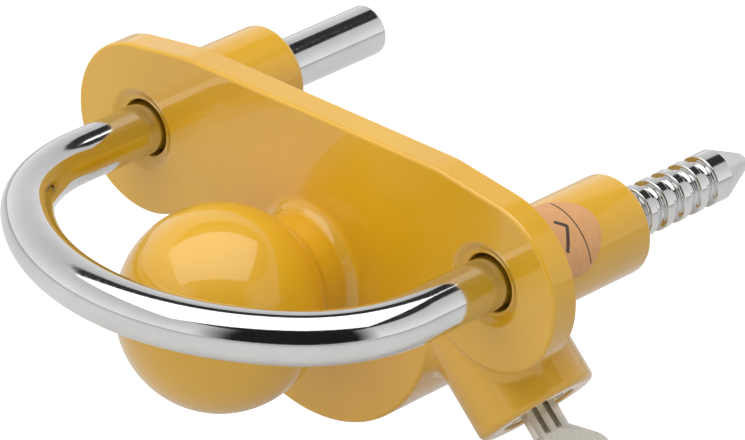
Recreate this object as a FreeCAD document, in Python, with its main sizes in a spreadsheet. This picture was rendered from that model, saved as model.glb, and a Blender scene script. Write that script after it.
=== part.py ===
import FreeCAD, Part
import math
import os
import Sketcher

# Universal lock for a trailer coupling: a ball fills the coupling's socket and a
# U-shaped shackle closes over it. The right leg is notched and is held by a bolt
# that a key-turned cylinder drives. Millimetres, +Z up, +Y along the legs towards
# their free ends, origin at the centre of the ball.

sizes = {
    # ball, its stem and the spindle that carries it
    "ball_diameter": 47.6,
    "stem_radius": 14.0,
    "stem_fillet": 3.2,
    "spindle_radius": 8.5,
    "plate_offset": 28.2,
    # face plate
    "plate_thickness": 7.2,
    "plate_edge_round": 0.9,
    "leg_spacing": 110.0,
    "leg_height": 15.4,
    "lobe_radius": 21.0,
    "top_rise": 23.3,
    "shoulder_spacing": 80.0,
    "hub_radius": 38.0,
    "waist_radius": 5.0,
    "leg_clearance": 0.75,
    "dish_width": 2.9,
    "dish_depth": 1.2,
    # half-round box behind the plate
    "hub_wall": 5.0,
    "hub_depth": 20.0,
    "hub_top": 18.0,
    "hub_back_thickness": 4.0,
    "hub_edge_round": 2.0,
    # sleeves that guide the legs
    "sleeve_radius": 12.0,
    "sleeve_length": 34.4,
    "sleeve_edge_round": 1.4,
    "weld_leg": 1.4,
    # shackle
    "rod_radius": 6.15,
    "front_straight": 19.9,
    "bow_depth": 42.8,
    "bow_corner_radius": 35.75,
    "smooth_leg_reach": 74.3,
    "smooth_end_round": 0.9,
    "notch_pitch": 5.5,
    "notch_width": 2.9,
    "notch_depth": 1.5,
    "notches_outward": 10,
    "notches_inward": 1,
    "notch_lip": 0.3,
    "end_land": 5.1,
    "point_length": 10.4,
    "point_tip_radius": 1.3,
    # lock housing, in its own direction below the horizontal
    "housing_radius": 14.6,
    "housing_angle": 45.0,
    "housing_drop": 23.65,
    "housing_reach": 27.6,
    "housing_back": 11.5,
    "housing_edge_round": 1.6,
    # lock cylinder
    "shell_radius": 9.0,
    "shell_recess": 0.5,
    "shell_length": 20.0,
    "shell_end_wall": 3.0,
    "plug_radius": 6.6,
    "plug_recess": 0.3,
    "journal_radius": 4.0,
    "tail_width": 4.4,
    "key_width": 8.8,
    "key_thickness": 2.0,
    "wafer_count": 5,
    "wafer_pitch": 2.1,
    "wafer_thickness": 0.9,
    "wafer_width": 5.0,
    "wafer_inset": 3.0,
    "spring_radius": 0.55,
    "spring_wire": 0.14,
    "retaining_pin_radius": 1.2,
    "seal_section": 0.6,
    # drive cam, clip and bolt
    "cam_radius": 4.9,
    "cam_thickness": 1.6,
    "cam_pin_radius": 1.4,
    "clip_thickness": 0.8,
    "bolt_radius": 3.5,
    "bolt_travel": 2.6,
    "bolt_nose_shift": 1.5,
    "bolt_nose_width": 1.4,
    "stopper_length": 3.0,
    # key outside the plug
    "key_neck_width": 9.7,
    "key_neck_length": 5.4,
    "bow_width": 25.0,
    "bow_length": 27.0,
    "bow_corner_round": 5.0,
    "key_ring_hole_radius": 3.0,
    "key_groove_width": 1.6,
    "key_groove_depth": 0.45,
    "key_groove_spacing": 3.7,
    # round inspection label on the right sleeve
    "label_radius": 9.3,
    "label_thickness": 0.12,
    "label_distance": 10.8,
    "label_turn": 50.0,
    # clearances
    "fit_gap": 0.05,
    "weld_gap": 0.06,
    "free_gap": 0.3,
}

doc = FreeCAD.newDocument("coupling_lock")
sheet = doc.addObject("Spreadsheet::Sheet", "dims")
for row, (name, number) in enumerate(sizes.items(), start=1):
    sheet.set(f"A{row}", name)
    sheet.set(f"B{row}", str(number))
    sheet.setAlias(f"B{row}", name)
doc.recompute()


class Size:
    """A length that carries both its value and the sheet formula it comes from."""

    def __init__(self, number, formula=None):
        self.number = float(number)
        self.formula = formula if formula is not None else repr(float(number))

    @staticmethod
    def of(other):
        return other if isinstance(other, Size) else Size(other)

    def join(self, other, sign, number):
        return Size(number, f"({self.formula} {sign} {other.formula})")

    def __add__(self, other):
        other = Size.of(other)
        return self.join(other, "+", self.number + other.number)

    def __sub__(self, other):
        other = Size.of(other)
        return self.join(other, "-", self.number - other.number)

    def __mul__(self, other):
        other = Size.of(other)
        return self.join(other, "*", self.number * other.number)

    def __truediv__(self, other):
        other = Size.of(other)
        return self.join(other, "/", self.number / other.number)

    def __neg__(self):
        return Size(0) - self

    __radd__ = __add__
    __rmul__ = __mul__

    def __rsub__(self, other):
        return Size.of(other) - self


def size(name):
    return Size(float(sheet.get(name)), f"dims.{name}")


def sine(angle):
    return Size(math.sin(math.radians(angle.number)), f"sin({angle.formula} * 1 deg)")


def cosine(angle):
    return Size(math.cos(math.radians(angle.number)), f"cos({angle.formula} * 1 deg)")


def root(square):
    return Size(math.sqrt(square.number), f"sqrt({square.formula})")


def larger(first, second):
    return Size(max(first.number, second.number), f"max({first.formula}; {second.formula})")


def smaller(first, second):
    return Size(min(first.number, second.number), f"min({first.formula}; {second.formula})")


def bind(item, prop, value):
    """Set one property and tie it to the sheet."""
    value = Size.of(value)
    if "." not in prop:
        setattr(item, prop, value.number)
    item.setExpression(prop, value.formula)


def place(item, x=0, y=0, z=0, axis=(0, 0, 1), angle=0):
    """Put a sub-part where it belongs, with its position tied to the sheet."""
    x, y, z, angle = Size.of(x), Size.of(y), Size.of(z), Size.of(angle)
    turn = FreeCAD.Rotation(FreeCAD.Vector(*axis), angle.number)
    item.Placement = FreeCAD.Placement(FreeCAD.Vector(x.number, y.number, z.number), turn)
    bind(item, "Placement.Base.x", x)
    bind(item, "Placement.Base.y", y)
    bind(item, "Placement.Base.z", z)
    return item


# Part solids, used where a piece is a plain combination of turned or block shapes.

def cylinder(radius, height, x=0, y=0, z=0, axis=(0, 0, 1), angle=0):
    item = doc.addObject("Part::Cylinder", "Cylinder")
    bind(item, "Radius", radius)
    bind(item, "Height", height)
    return place(item, x, y, z, axis, angle)


def block(length, width, height, x=0, y=0, z=0):
    """A box centred on x and y that stands on z."""
    length, width = Size.of(length), Size.of(width)
    item = doc.addObject("Part::Box", "Block")
    bind(item, "Length", length)
    bind(item, "Width", width)
    bind(item, "Height", height)
    return place(item, Size.of(x) - length / 2, Size.of(y) - width / 2, z)


def ball(radius):
    item = doc.addObject("Part::Sphere", "Ball")
    bind(item, "Radius", radius)
    return item


def cone(radius_low, radius_high, height, z=0):
    item = doc.addObject("Part::Cone", "Cone")
    bind(item, "Radius1", radius_low)
    bind(item, "Radius2", radius_high)
    bind(item, "Height", height)
    return place(item, z=z)


def torus(ring_radius, section_radius, z=0):
    item = doc.addObject("Part::Torus", "Torus")
    bind(item, "Radius1", ring_radius)
    bind(item, "Radius2", section_radius)
    return place(item, z=z)


def cut(base, *tools):
    for tool in tools:
        item = doc.addObject("Part::Cut", "Cut")
        item.Base = base
        item.Tool = tool
        base = item
    return base


def fuse(*shapes):
    item = doc.addObject("Part::MultiFuse", "Fuse")
    item.Shapes = list(shapes)
    return item


def common(first, second):
    item = doc.addObject("Part::MultiCommon", "Common")
    item.Shapes = [first, second]
    return item


def group(*shapes):
    item = doc.addObject("Part::Compound", "Group")
    item.Links = list(shapes)
    return item


# PartDesign helpers.

def new_body(name):
    return doc.addObject("PartDesign::Body", name)


def origin_feature(body, role):
    return next(item for item in body.Origin.OriginFeatures if item.Role == role)


def new_sketch(body, name, role="XY_Plane", lift=0, sideways=0):
    """A sketch on an origin plane, moved along the plane's normal and its own x."""
    sketch = body.newObject("Sketcher::SketchObject", name)
    sketch.AttachmentSupport = (origin_feature(body, role), [""])
    sketch.MapMode = "FlatFace"
    bind(sketch, "AttachmentOffset.Base.z", lift)
    bind(sketch, "AttachmentOffset.Base.x", sideways)
    return sketch


def pin_point(sketch, geometry, point, x, y):
    """Fix a point of the sketch at x and y from the sketch's origin."""
    for kind, value in (("DistanceX", Size.of(x)), ("DistanceY", Size.of(y))):
        index = sketch.addConstraint(Sketcher.Constraint(kind, -1, 1, geometry, point, value.number))
        sketch.setExpression(f"Constraints[{index}]", value.formula)


def draw_circle(sketch, radius, x=0, y=0):
    radius, x, y = Size.of(radius), Size.of(x), Size.of(y)
    centre = FreeCAD.Vector(x.number, y.number, 0)
    ring = sketch.addGeometry(Part.Circle(centre, FreeCAD.Vector(0, 0, 1), radius.number), False)
    pin_point(sketch, ring, 3, x, y)
    index = sketch.addConstraint(Sketcher.Constraint("Radius", ring, radius.number))
    sketch.setExpression(f"Constraints[{index}]", radius.formula)
    return ring


def draw_polygon(sketch, corners):
    """Straight closed outline whose corners are all tied to the sheet."""
    corners = [(Size.of(x), Size.of(y)) for x, y in corners]
    spots = [FreeCAD.Vector(x.number, y.number, 0) for x, y in corners]
    first = sketch.GeometryCount
    for index, spot in enumerate(spots):
        following = spots[(index + 1) % len(spots)]
        sketch.addGeometry(Part.LineSegment(spot, following), False)
    for index, (x, y) in enumerate(corners):
        following = (index + 1) % len(corners)
        sketch.addConstraint(Sketcher.Constraint("Coincident", first + index, 2, first + following, 1))
        pin_point(sketch, first + index, 1, x, y)


def draw_rectangle(sketch, width, height, x=0, y=0):
    half_width, half_height = Size.of(width) / 2, Size.of(height) / 2
    x, y = Size.of(x), Size.of(y)
    left, right = x - half_width, x + half_width
    low, high = y - half_height, y + half_height
    draw_polygon(sketch, [(left, low), (right, low), (right, high), (left, high)])


def pad(body, sketch, length, reverse=False):
    item = body.newObject("PartDesign::Pad", "Pad")
    item.Profile = sketch
    item.Reversed = reverse
    bind(item, "Length", length)
    return item


def pocket(body, sketch, length, reverse=False):
    item = body.newObject("PartDesign::Pocket", "Pocket")
    item.Profile = sketch
    item.Reversed = reverse
    bind(item, "Length", length)
    return item


def revolve(body, sketch, kind="Revolution", axis="V_Axis"):
    item = body.newObject(f"PartDesign::{kind}", kind)
    item.Profile = sketch
    item.ReferenceAxis = (sketch, [axis])
    item.Angle = 360
    return item


def row_of(body, feature, axis_role, reach, count):
    """Repeat a feature along an origin axis. The reach is from first to last."""
    item = body.newObject("PartDesign::LinearPattern", "Row")
    item.Originals = [feature]
    item.Direction = (origin_feature(body, axis_role), [""])
    bind(item, "Length", reach)
    item.setExpression("Occurrences", count.formula)
    body.Tip = item
    return item


def edges_where(item, test):
    """Names of the edges of a feature for which the test holds."""
    doc.recompute()
    return [f"Edge{index}" for index, edge in enumerate(item.Shape.Edges, start=1) if test(edge)]


def round_edges(body, item, radius, test, kind="Fillet"):
    rounded = body.newObject(f"PartDesign::{kind}", kind)
    rounded.Base = (item, edges_where(item, test))
    bind(rounded, "Radius" if kind == "Fillet" else "Size", radius)
    return rounded


def is_circle(edge, radius, tolerance=0.01):
    curve = edge.Curve
    return hasattr(curve, "Radius") and abs(curve.Radius - radius) < tolerance


# Places that several pieces share, measured from the centre of the ball.

fit_gap = size("fit_gap")
weld_gap = size("weld_gap")
free_gap = size("free_gap")
plate_front = size("plate_offset")
plate_thickness = size("plate_thickness")
plate_back = plate_front + plate_thickness
leg_hole = size("rod_radius") + size("leg_clearance")
leg_x = size("leg_spacing") / 2
leg_z = size("leg_height")
hub_back = plate_back + size("hub_depth")
housing_angle = size("housing_angle")
housing_y = plate_front + size("housing_radius")
housing_x = leg_x - size("housing_drop") * sine(housing_angle)
housing_z = leg_z - size("housing_drop") * cosine(housing_angle)
rearward = ((1, 0, 0), -90)


def place_on_leg(item, side, y):
    """Stand a piece that was made along z on one of the two leg axes."""
    return place(item, leg_x * side, y, leg_z, *rearward)


def place_in_housing(item):
    """Housing pieces are made along z, which ends up pointing out of the key face.

    Their -x then points at the notched leg and their y stays the object's y.
    """
    return place(item, housing_x, housing_y, housing_z, (0, 1, 0), housing_angle + 90)


def fillet_ring(radius, leg):
    """Hollow-faced ring that fills the corner round a shaft of the given radius."""
    outside = cylinder(radius + leg, leg)
    hollow = torus(radius + leg, leg, z=leg)
    return cut(outside, hollow, cylinder(radius, leg + 2, z=-1))


# Face plate.

def outline_points(gap):
    """Corner and centre points of the plate's outline, grown all round by gap."""
    lobe = size("lobe_radius") + gap
    hub = size("hub_radius") + gap
    waist = size("waist_radius") - gap
    top = leg_z + size("top_rise") + gap
    shoulder = size("shoulder_spacing") / 2

    # tangent from the shoulder to the top of the lobe
    run, rise = shoulder - leg_x, top - leg_z
    reach = math.hypot(run.number, rise.number)
    turn = math.atan2(rise.number, run.number) - math.acos(lobe.number / reach)
    touch = (leg_x.number + lobe.number * math.cos(turn), leg_z.number + lobe.number * math.sin(turn))

    # centre of the waist arc, outside both the lobe and the hub
    far = math.hypot(leg_x.number, leg_z.number)
    from_hub, from_lobe = hub.number + waist.number, lobe.number + waist.number
    along = (from_hub ** 2 - from_lobe ** 2 + far ** 2) / (2 * far)
    off = math.sqrt(from_hub ** 2 - along ** 2)
    unit = (leg_x.number / far, leg_z.number / far)
    waist_centre = (unit[0] * along + unit[1] * off, unit[1] * along - unit[0] * off)
    return lobe, hub, waist, top, shoulder, touch, waist_centre


def towards(centre, other, distance):
    dx, dy = other[0] - centre[0], other[1] - centre[1]
    scale = distance / math.hypot(dx, dy)
    return (centre[0] + dx * scale, centre[1] + dy * scale)


def arc_between(centre, radius, start, end):
    """Arc that runs anticlockwise from start to end."""
    circle = Part.Circle(FreeCAD.Vector(*centre, 0), FreeCAD.Vector(0, 0, 1), radius)
    angles = [math.atan2(point[1] - centre[1], point[0] - centre[0]) for point in (start, end)]
    if angles[1] < angles[0]:
        angles[1] += 2 * math.pi
    return Part.ArcOfCircle(circle, *angles)


def draw_outline(sketch, gap):
    """Plate outline: two lobes round the legs, a round hub below and a straight top."""
    lobe, hub, waist, top, shoulder, touch, waist_centre = outline_points(gap)
    leg = (leg_x.number, leg_z.number)
    low_lobe = towards(leg, waist_centre, lobe.number)
    low_hub = towards((0, 0), waist_centre, hub.number)

    def mirrored(point):
        return (-point[0], point[1])

    def straight(start, end):
        return Part.LineSegment(FreeCAD.Vector(*start, 0), FreeCAD.Vector(*end, 0))

    peak = (shoulder.number, top.number)
    pieces = [
        straight(peak, mirrored(peak)),
        straight(mirrored(peak), mirrored(touch)),
        arc_between(mirrored(leg), lobe.number, mirrored(touch), mirrored(low_lobe)),
        arc_between(mirrored(waist_centre), waist.number, mirrored(low_hub), mirrored(low_lobe)),
        arc_between((0, 0), hub.number, mirrored(low_hub), low_hub),
        arc_between(waist_centre, waist.number, low_lobe, low_hub),
        arc_between(leg, lobe.number, low_lobe, touch),
        straight(touch, peak),
    ]
    top_line, slope_left, lobe_left, waist_left, hub_arc, waist_right, lobe_right, slope_right = [
        sketch.addGeometry(piece, False) for piece in pieces]

    pin_point(sketch, top_line, 1, shoulder, top)
    pin_point(sketch, top_line, 2, -shoulder, top)
    pin_point(sketch, lobe_left, 3, -leg_x, leg_z)
    pin_point(sketch, lobe_right, 3, leg_x, leg_z)
    pin_point(sketch, hub_arc, 3, 0, 0)
    radii = ((lobe_left, lobe), (lobe_right, lobe), (hub_arc, hub), (waist_left, waist), (waist_right, waist))
    for arc, radius in radii:
        index = sketch.addConstraint(Sketcher.Constraint("Radius", arc, radius.number))
        sketch.setExpression(f"Constraints[{index}]", radius.formula)
    sketch.addConstraint(Sketcher.Constraint("Coincident", top_line, 2, slope_left, 1))
    sketch.addConstraint(Sketcher.Constraint("Coincident", slope_right, 2, top_line, 1))
    joints = (
        (slope_left, 2, lobe_left, 1),
        (lobe_left, 2, waist_left, 2),
        (waist_left, 1, hub_arc, 1),
        (hub_arc, 2, waist_right, 2),
        (waist_right, 1, lobe_right, 1),
        (lobe_right, 2, slope_right, 1),
    )
    for joint in joints:
        sketch.addConstraint(Sketcher.Constraint("Tangent", *joint))


def plate_slab(name, gap, front, thickness):
    """Slab with the plate's outline. Pads of this plane run forward unless reversed."""
    body = new_body(name)
    sketch = new_sketch(body, f"{name}_outline", "XZ_Plane", -front)
    draw_outline(sketch, gap)
    return body, pad(body, sketch, thickness, reverse=True)


def make_face_plate():
    body, slab = plate_slab("plate_blank", Size(0), plate_front, plate_thickness)
    front = plate_front.number

    def on_front(edge):
        return all(abs(vertex.Point.y - front) < 1e-4 for vertex in edge.Vertexes)

    rounded = round_edges(body, slab, size("plate_edge_round"), on_front)
    sketch = new_sketch(body, "plate_holes", "XZ_Plane", -plate_front)
    for side in (-1, 1):
        draw_circle(sketch, leg_hole, leg_x * side, leg_z)
    draw_circle(sketch, size("spindle_radius") + fit_gap, 0, 0)
    pocket(body, sketch, plate_thickness + 1)

    dishes = []
    for side in (-1, 1):
        dish = doc.addObject("Part::Cone", "Dish")
        bind(dish, "Radius1", leg_hole + size("dish_width"))
        bind(dish, "Radius2", leg_hole)
        bind(dish, "Height", size("dish_depth"))
        dishes.append(place_on_leg(dish, side, plate_front))
    bore = place_in_housing(cylinder(size("shell_radius") + free_gap, size("housing_reach") * 2, z=0))
    return cut(body, *dishes, bore)


# Sleeves, hub and ball.

def make_sleeve(name, extra_cuts=()):
    body = new_body(name)
    sketch = new_sketch(body, f"{name}_section")
    draw_circle(sketch, size("sleeve_radius"))
    draw_circle(sketch, leg_hole)
    tube = pad(body, sketch, size("sleeve_length"))
    outer = size("sleeve_radius").number
    end = size("sleeve_length").number

    def at_end(edge):
        return is_circle(edge, outer) and abs(edge.CenterOfMass.z - end) < 1e-4

    round_edges(body, tube, size("sleeve_edge_round"), at_end)
    return body


def bolt_bore(radius, length, start=0):
    """Bore for the bolt, from the housing axis towards the notched leg."""
    bore = cylinder(radius, length, Size.of(start) * -1, 0, 0, (0, 1, 0), -90)
    holder = group(bore)
    return place_in_housing(holder)


def make_left_sleeve():
    return place_on_leg(make_sleeve("left_sleeve_tube"), -1, plate_back)


def make_right_sleeve():
    tube = place_on_leg(make_sleeve("right_sleeve_tube"), 1, plate_back)
    reach = size("housing_drop") + size("sleeve_radius") + 5
    return cut(tube, bolt_bore(size("bolt_radius") + fit_gap, reach))


def make_sleeve_welds():
    rings = []
    for side in (-1, 1):
        ring = fillet_ring(size("sleeve_radius") + weld_gap, size("weld_leg"))
        rings.append(place_on_leg(ring, side, plate_back))
    envelope = housing_envelope(weld_gap)
    return cut(group(*rings), envelope)


def housing_envelope(gap):
    height = size("housing_reach") + size("housing_back") + gap * 2
    inner = cylinder(size("housing_radius") + gap, height, z=-size("housing_back") - gap)
    return place_in_housing(group(inner))


def hub_section(body, radius, top, name):
    """Sketch of a disc cut straight across at a height above its centre."""
    sketch = new_sketch(body, name, "XZ_Plane")
    turn = math.asin(top.number / radius.number)
    circle = Part.Circle(FreeCAD.Vector(0, 0, 0), FreeCAD.Vector(0, 0, 1), radius.number)
    arc = sketch.addGeometry(Part.ArcOfCircle(circle, math.pi - turn, 2 * math.pi + turn), False)
    reach = radius.number * math.cos(turn)
    right = FreeCAD.Vector(reach, top.number, 0)
    left = FreeCAD.Vector(-reach, top.number, 0)
    chord = sketch.addGeometry(Part.LineSegment(right, left), False)
    sketch.addConstraint(Sketcher.Constraint("Coincident", arc, 2, chord, 1))
    sketch.addConstraint(Sketcher.Constraint("Coincident", arc, 1, chord, 2))
    sketch.addConstraint(Sketcher.Constraint("Horizontal", chord))
    pin_point(sketch, arc, 3, 0, 0)
    for kind, value, spot in (("Radius", radius, (arc,)), ("DistanceY", top, (-1, 1, chord, 1))):
        index = sketch.addConstraint(Sketcher.Constraint(kind, *spot, value.number))
        sketch.setExpression(f"Constraints[{index}]", value.formula)
    return sketch


def make_hub_wall():
    """Wall of the box: round below, flat on top, open towards the plate."""
    outer = size("hub_radius") - weld_gap
    inner = outer - size("hub_wall")
    depth = size("hub_depth") - size("hub_back_thickness")
    body = new_body("hub_shell")
    outline = hub_section(body, outer, size("hub_top"), "hub_outline")
    wall = pad(body, outline, depth, reverse=True)
    edge_top = size("hub_top").number

    def at_corner(edge):
        points = [vertex.Point for vertex in edge.Vertexes]
        return len(points) == 2 and all(abs(point.z - edge_top) < 1e-4 for point in points) and (
            abs(abs(points[0].x) - abs(points[1].x)) < 1e-4 and abs(points[0].y - points[1].y) > 1
            and points[0].x * points[1].x > 0)

    round_edges(body, wall, size("hub_edge_round"), at_corner)
    hollow = hub_section(body, inner, size("hub_top") - size("hub_wall"), "hub_hollow")
    pocket(body, hollow, depth + 1)
    place(body, 0, plate_back, 0)
    return cut(body, housing_envelope(weld_gap))


def make_hub_back():
    thickness = size("hub_back_thickness")
    body = new_body("hub_lid")
    outline = hub_section(body, size("hub_radius") - weld_gap, size("hub_top"), "lid_outline")
    lid = pad(body, outline, thickness, reverse=True)
    edge_top = size("hub_top").number

    def at_corner(edge):
        points = [vertex.Point for vertex in edge.Vertexes]
        return len(points) == 2 and all(abs(point.z - edge_top) < 1e-4 for point in points) and (
            abs(points[0].y - points[1].y) > 1)

    rounded = round_edges(body, lid, size("hub_edge_round"), at_corner)
    back = thickness.number

    def at_back(edge):
        return all(abs(vertex.Point.y - back) < 1e-4 for vertex in edge.Vertexes)

    round_edges(body, rounded, size("plate_edge_round"), at_back)
    bore = new_sketch(body, "spindle_bore", "XZ_Plane", 0)
    draw_circle(bore, size("spindle_radius") + fit_gap)
    pocket(body, bore, thickness + 1)
    place(body, 0, hub_back - thickness, 0)
    return cut(body, housing_envelope(weld_gap))


def make_coupler_ball():
    stem = cylinder(size("stem_radius"), plate_front)
    spindle = cylinder(size("spindle_radius"), hub_back)
    root_ring = fillet_ring(size("stem_radius") - weld_gap, size("stem_fillet"))
    place(root_ring, 0, 0, plate_front, (1, 0, 0), 180)
    whole = fuse(ball(size("ball_diameter") / 2), stem, spindle, root_ring)
    return place(whole, 0, 0, 0, *rearward)


# Shackle, made in the plane of its legs with y = 0 at the plate's front face.

bolt_y = size("housing_radius")
engaged_y = bolt_y - size("bolt_nose_shift")
first_notch_y = engaged_y - size("notch_pitch") * size("notches_inward")
last_notch_y = engaged_y + size("notch_pitch") * size("notches_outward")
shoulder_y = last_notch_y + size("notch_width") / 2 + size("end_land")


def make_shackle():
    body = new_body("shackle_bar")
    corner = size("bow_corner_radius")
    depth = size("bow_depth")
    straight_end = -size("front_straight")
    middle = (leg_x * leg_x - leg_x * corner * 2 + depth * depth) / ((depth - corner) * 2)
    corner_x = leg_x - corner
    middle_y = straight_end - depth + middle

    def vector(x, y):
        return FreeCAD.Vector(x, y, 0)

    path = new_sketch(body, "bar_path")
    right_turn = math.atan2(straight_end.number - middle_y.number, corner_x.number)
    touch = (middle.number * math.cos(right_turn), middle_y.number + middle.number * math.sin(right_turn))
    leg, straight = leg_x.number, straight_end.number
    pieces = [
        Part.LineSegment(vector(-leg, size("smooth_leg_reach").number), vector(-leg, straight)),
        arc_between((-corner_x.number, straight), corner.number, (-leg, straight), (-touch[0], touch[1])),
        arc_between((0, middle_y.number), middle.number, (-touch[0], touch[1]), touch),
        arc_between((corner_x.number, straight), corner.number, touch, (leg, straight)),
        Part.LineSegment(vector(leg, straight), vector(leg, shoulder_y.number)),
    ]
    left, left_arc, middle_arc, right_arc, right = [path.addGeometry(piece, False) for piece in pieces]
    pin_point(path, left, 1, -leg_x, size("smooth_leg_reach"))
    pin_point(path, left, 2, -leg_x, straight_end)
    pin_point(path, left_arc, 3, -corner_x, straight_end)
    pin_point(path, right_arc, 3, corner_x, straight_end)
    pin_point(path, right, 2, leg_x, shoulder_y)
    index = path.addConstraint(Sketcher.Constraint("DistanceY", -1, 1, middle_arc, 3, middle_y.number))
    path.setExpression(f"Constraints[{index}]", middle_y.formula)
    path.addConstraint(Sketcher.Constraint("Coincident", left, 2, left_arc, 1))
    path.addConstraint(Sketcher.Constraint("Tangent", left_arc, 2, middle_arc, 1))
    path.addConstraint(Sketcher.Constraint("Tangent", middle_arc, 2, right_arc, 1))
    path.addConstraint(Sketcher.Constraint("Tangent", right_arc, 2, right, 1))

    section = new_sketch(body, "bar_section", "XZ_Plane", -size("smooth_leg_reach"))
    draw_circle(section, size("rod_radius"), -leg_x, 0)
    bar = body.newObject("PartDesign::AdditivePipe", "Bar")
    bar.Profile = section
    bar.Spine = (path, [])
    doc.recompute()

    rod = size("rod_radius")
    smooth_end = size("smooth_leg_reach").number

    def at_smooth_end(edge):
        return is_circle(edge, rod.number) and abs(edge.CenterOfMass.y - smooth_end) < 1e-4

    round_edges(body, bar, size("smooth_end_round"), at_smooth_end)

    # point of the notched leg: a cone with a rounded tip
    point = new_sketch(body, "point_profile", "XY_Plane", 0, leg_x)
    tip = size("point_tip_radius")
    tip_y = shoulder_y + size("point_length")
    draw_polygon(point, [
        (0, shoulder_y - 1), (rod, shoulder_y - 1), (rod, shoulder_y),
        (tip, tip_y - tip * Size(0.7)), (tip * Size(0.6), tip_y - tip * Size(0.15)), (0, tip_y)])
    revolve(body, point)

    # notches
    deep, half = size("notch_depth"), size("notch_width") / 2
    lip = size("notch_lip")
    floor = rod - deep
    corner_cut = deep * Size(0.4)
    notch = new_sketch(body, "notch_profile", "XY_Plane", 0, leg_x)
    outside = rod + 1
    draw_polygon(notch, [
        (outside, first_notch_y - half - lip - 1), (rod - lip, first_notch_y - half),
        (floor + corner_cut, first_notch_y - half), (floor, first_notch_y - half + corner_cut),
        (floor, first_notch_y + half - corner_cut), (floor + corner_cut, first_notch_y + half),
        (rod - lip, first_notch_y + half), (outside, first_notch_y + half + lip + 1)])
    groove = revolve(body, notch, "Groove")
    row_of(body, groove, "Y_Axis", last_notch_y - first_notch_y,
           size("notches_outward") + size("notches_inward") + 1)
    return place(body, 0, plate_front, leg_z)


# Lock housing and what it holds, made along z (see place_in_housing).

face = size("housing_reach")
shell_front = face - size("shell_recess")
shell_back = shell_front - size("shell_length")
plug_front = shell_front - size("plug_recess")
plug_back = shell_back + size("shell_end_wall") + fit_gap
clip_top = shell_back - fit_gap
clip_low = clip_top - size("clip_thickness")
cam_top = clip_low - free_gap
cam_low = cam_top - size("cam_thickness")
first_wafer = plug_back + size("wafer_inset")
wafer_row = size("wafer_pitch") * (size("wafer_count") - 1)
eccentric = size("bolt_travel") / root(Size(2))
slot_depth = size("bolt_radius") * Size(0.8)


def make_lock_housing():
    body = new_body("housing_barrel")
    sketch = new_sketch(body, "barrel_section", "XY_Plane", -size("housing_back"))
    draw_circle(sketch, size("housing_radius"))
    barrel = pad(body, sketch, face + size("housing_back"))
    outer, key_face = size("housing_radius").number, face.number

    def at_face(edge):
        return is_circle(edge, outer) and abs(edge.CenterOfMass.z - key_face) < 1e-4

    round_edges(body, barrel, size("housing_edge_round"), at_face)
    bore = new_sketch(body, "cylinder_bore", "XY_Plane", shell_back)
    draw_circle(bore, size("shell_radius") + fit_gap)
    pocket(body, bore, size("shell_length") + 5, reverse=True)
    chamber = new_sketch(body, "cam_chamber", "XY_Plane", 0)
    draw_circle(chamber, size("cam_radius") + free_gap * 2)
    pocket(body, chamber, shell_back + 1, reverse=True)
    place_in_housing(body)

    relief, _ = plate_slab("plate_relief", weld_gap, plate_front - 1, plate_thickness + weld_gap + 1)
    sleeve = place_on_leg(cylinder(size("sleeve_radius") + weld_gap, size("sleeve_length") + 10), 1, plate_back)
    tail = eccentric * 4 + size("cam_pin_radius")
    bore = bolt_bore(size("bolt_radius") + fit_gap, size("housing_drop") + tail, -tail)
    return cut(body, relief, sleeve, bore, pin_bore(size("retaining_pin_radius") + fit_gap))


def pin_bore(radius):
    """Radial hole for the pin that holds the shell, entered from the rear."""
    height = size("housing_radius") + 3
    pin_z = shell_back + size("retaining_pin_radius") + 0.3
    hole = cylinder(radius, height, 0, size("shell_radius") - 1.4, pin_z, (1, 0, 0), -90)
    return place_in_housing(group(hole))


def make_retaining_pin():
    pin_z = shell_back + size("retaining_pin_radius") + 0.3
    start = size("shell_radius") - 1.3
    length = size("housing_radius") - start - 0.5
    pin = cylinder(size("retaining_pin_radius"), length, 0, start, pin_z, (1, 0, 0), -90)
    bore = cylinder(size("retaining_pin_radius") / 2, length + 1, 0, start - 0.5, pin_z, (1, 0, 0), -90)
    return place_in_housing(cut(pin, bore))


def make_cylinder_shell():
    body = new_body("shell_tube")
    sketch = new_sketch(body, "shell_section", "XY_Plane", shell_back)
    draw_circle(sketch, size("shell_radius"))
    pad(body, sketch, size("shell_length"))
    plug_bore = new_sketch(body, "plug_bore", "XY_Plane", shell_back + size("shell_end_wall"))
    draw_circle(plug_bore, size("plug_radius") + fit_gap)
    pocket(body, plug_bore, size("shell_length"), reverse=True)
    journal = new_sketch(body, "journal_bore", "XY_Plane", shell_back - 1)
    draw_circle(journal, size("journal_radius") + fit_gap)
    pocket(body, journal, size("shell_end_wall") + 3, reverse=True)
    # broached slots that the wafers spring into when the key is out
    slots = new_sketch(body, "wafer_slots", "XY_Plane", first_wafer - size("wafer_thickness"))
    draw_rectangle(slots, size("wafer_width") + free_gap * 2, size("shell_radius") * 2 - 1.8)
    pocket(body, slots, wafer_row + size("wafer_thickness") * 2, reverse=True)
    seal_z = seal_height()
    seal_room = size("seal_section") * 2 + fit_gap
    seat = new_sketch(body, "seal_seat", "XZ_Plane")
    draw_rectangle(seat, seal_room * 2, seal_room + fit_gap, size("shell_radius"), seal_z)
    revolve(body, seat, "Groove")
    place_in_housing(body)
    return cut(body, pin_bore(size("retaining_pin_radius") + fit_gap))


def seal_height():
    return plug_front - size("seal_section") * 4


def make_seal():
    section = size("seal_section")
    return place_in_housing(group(torus(size("shell_radius") - section, section, z=seal_height())))


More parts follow.
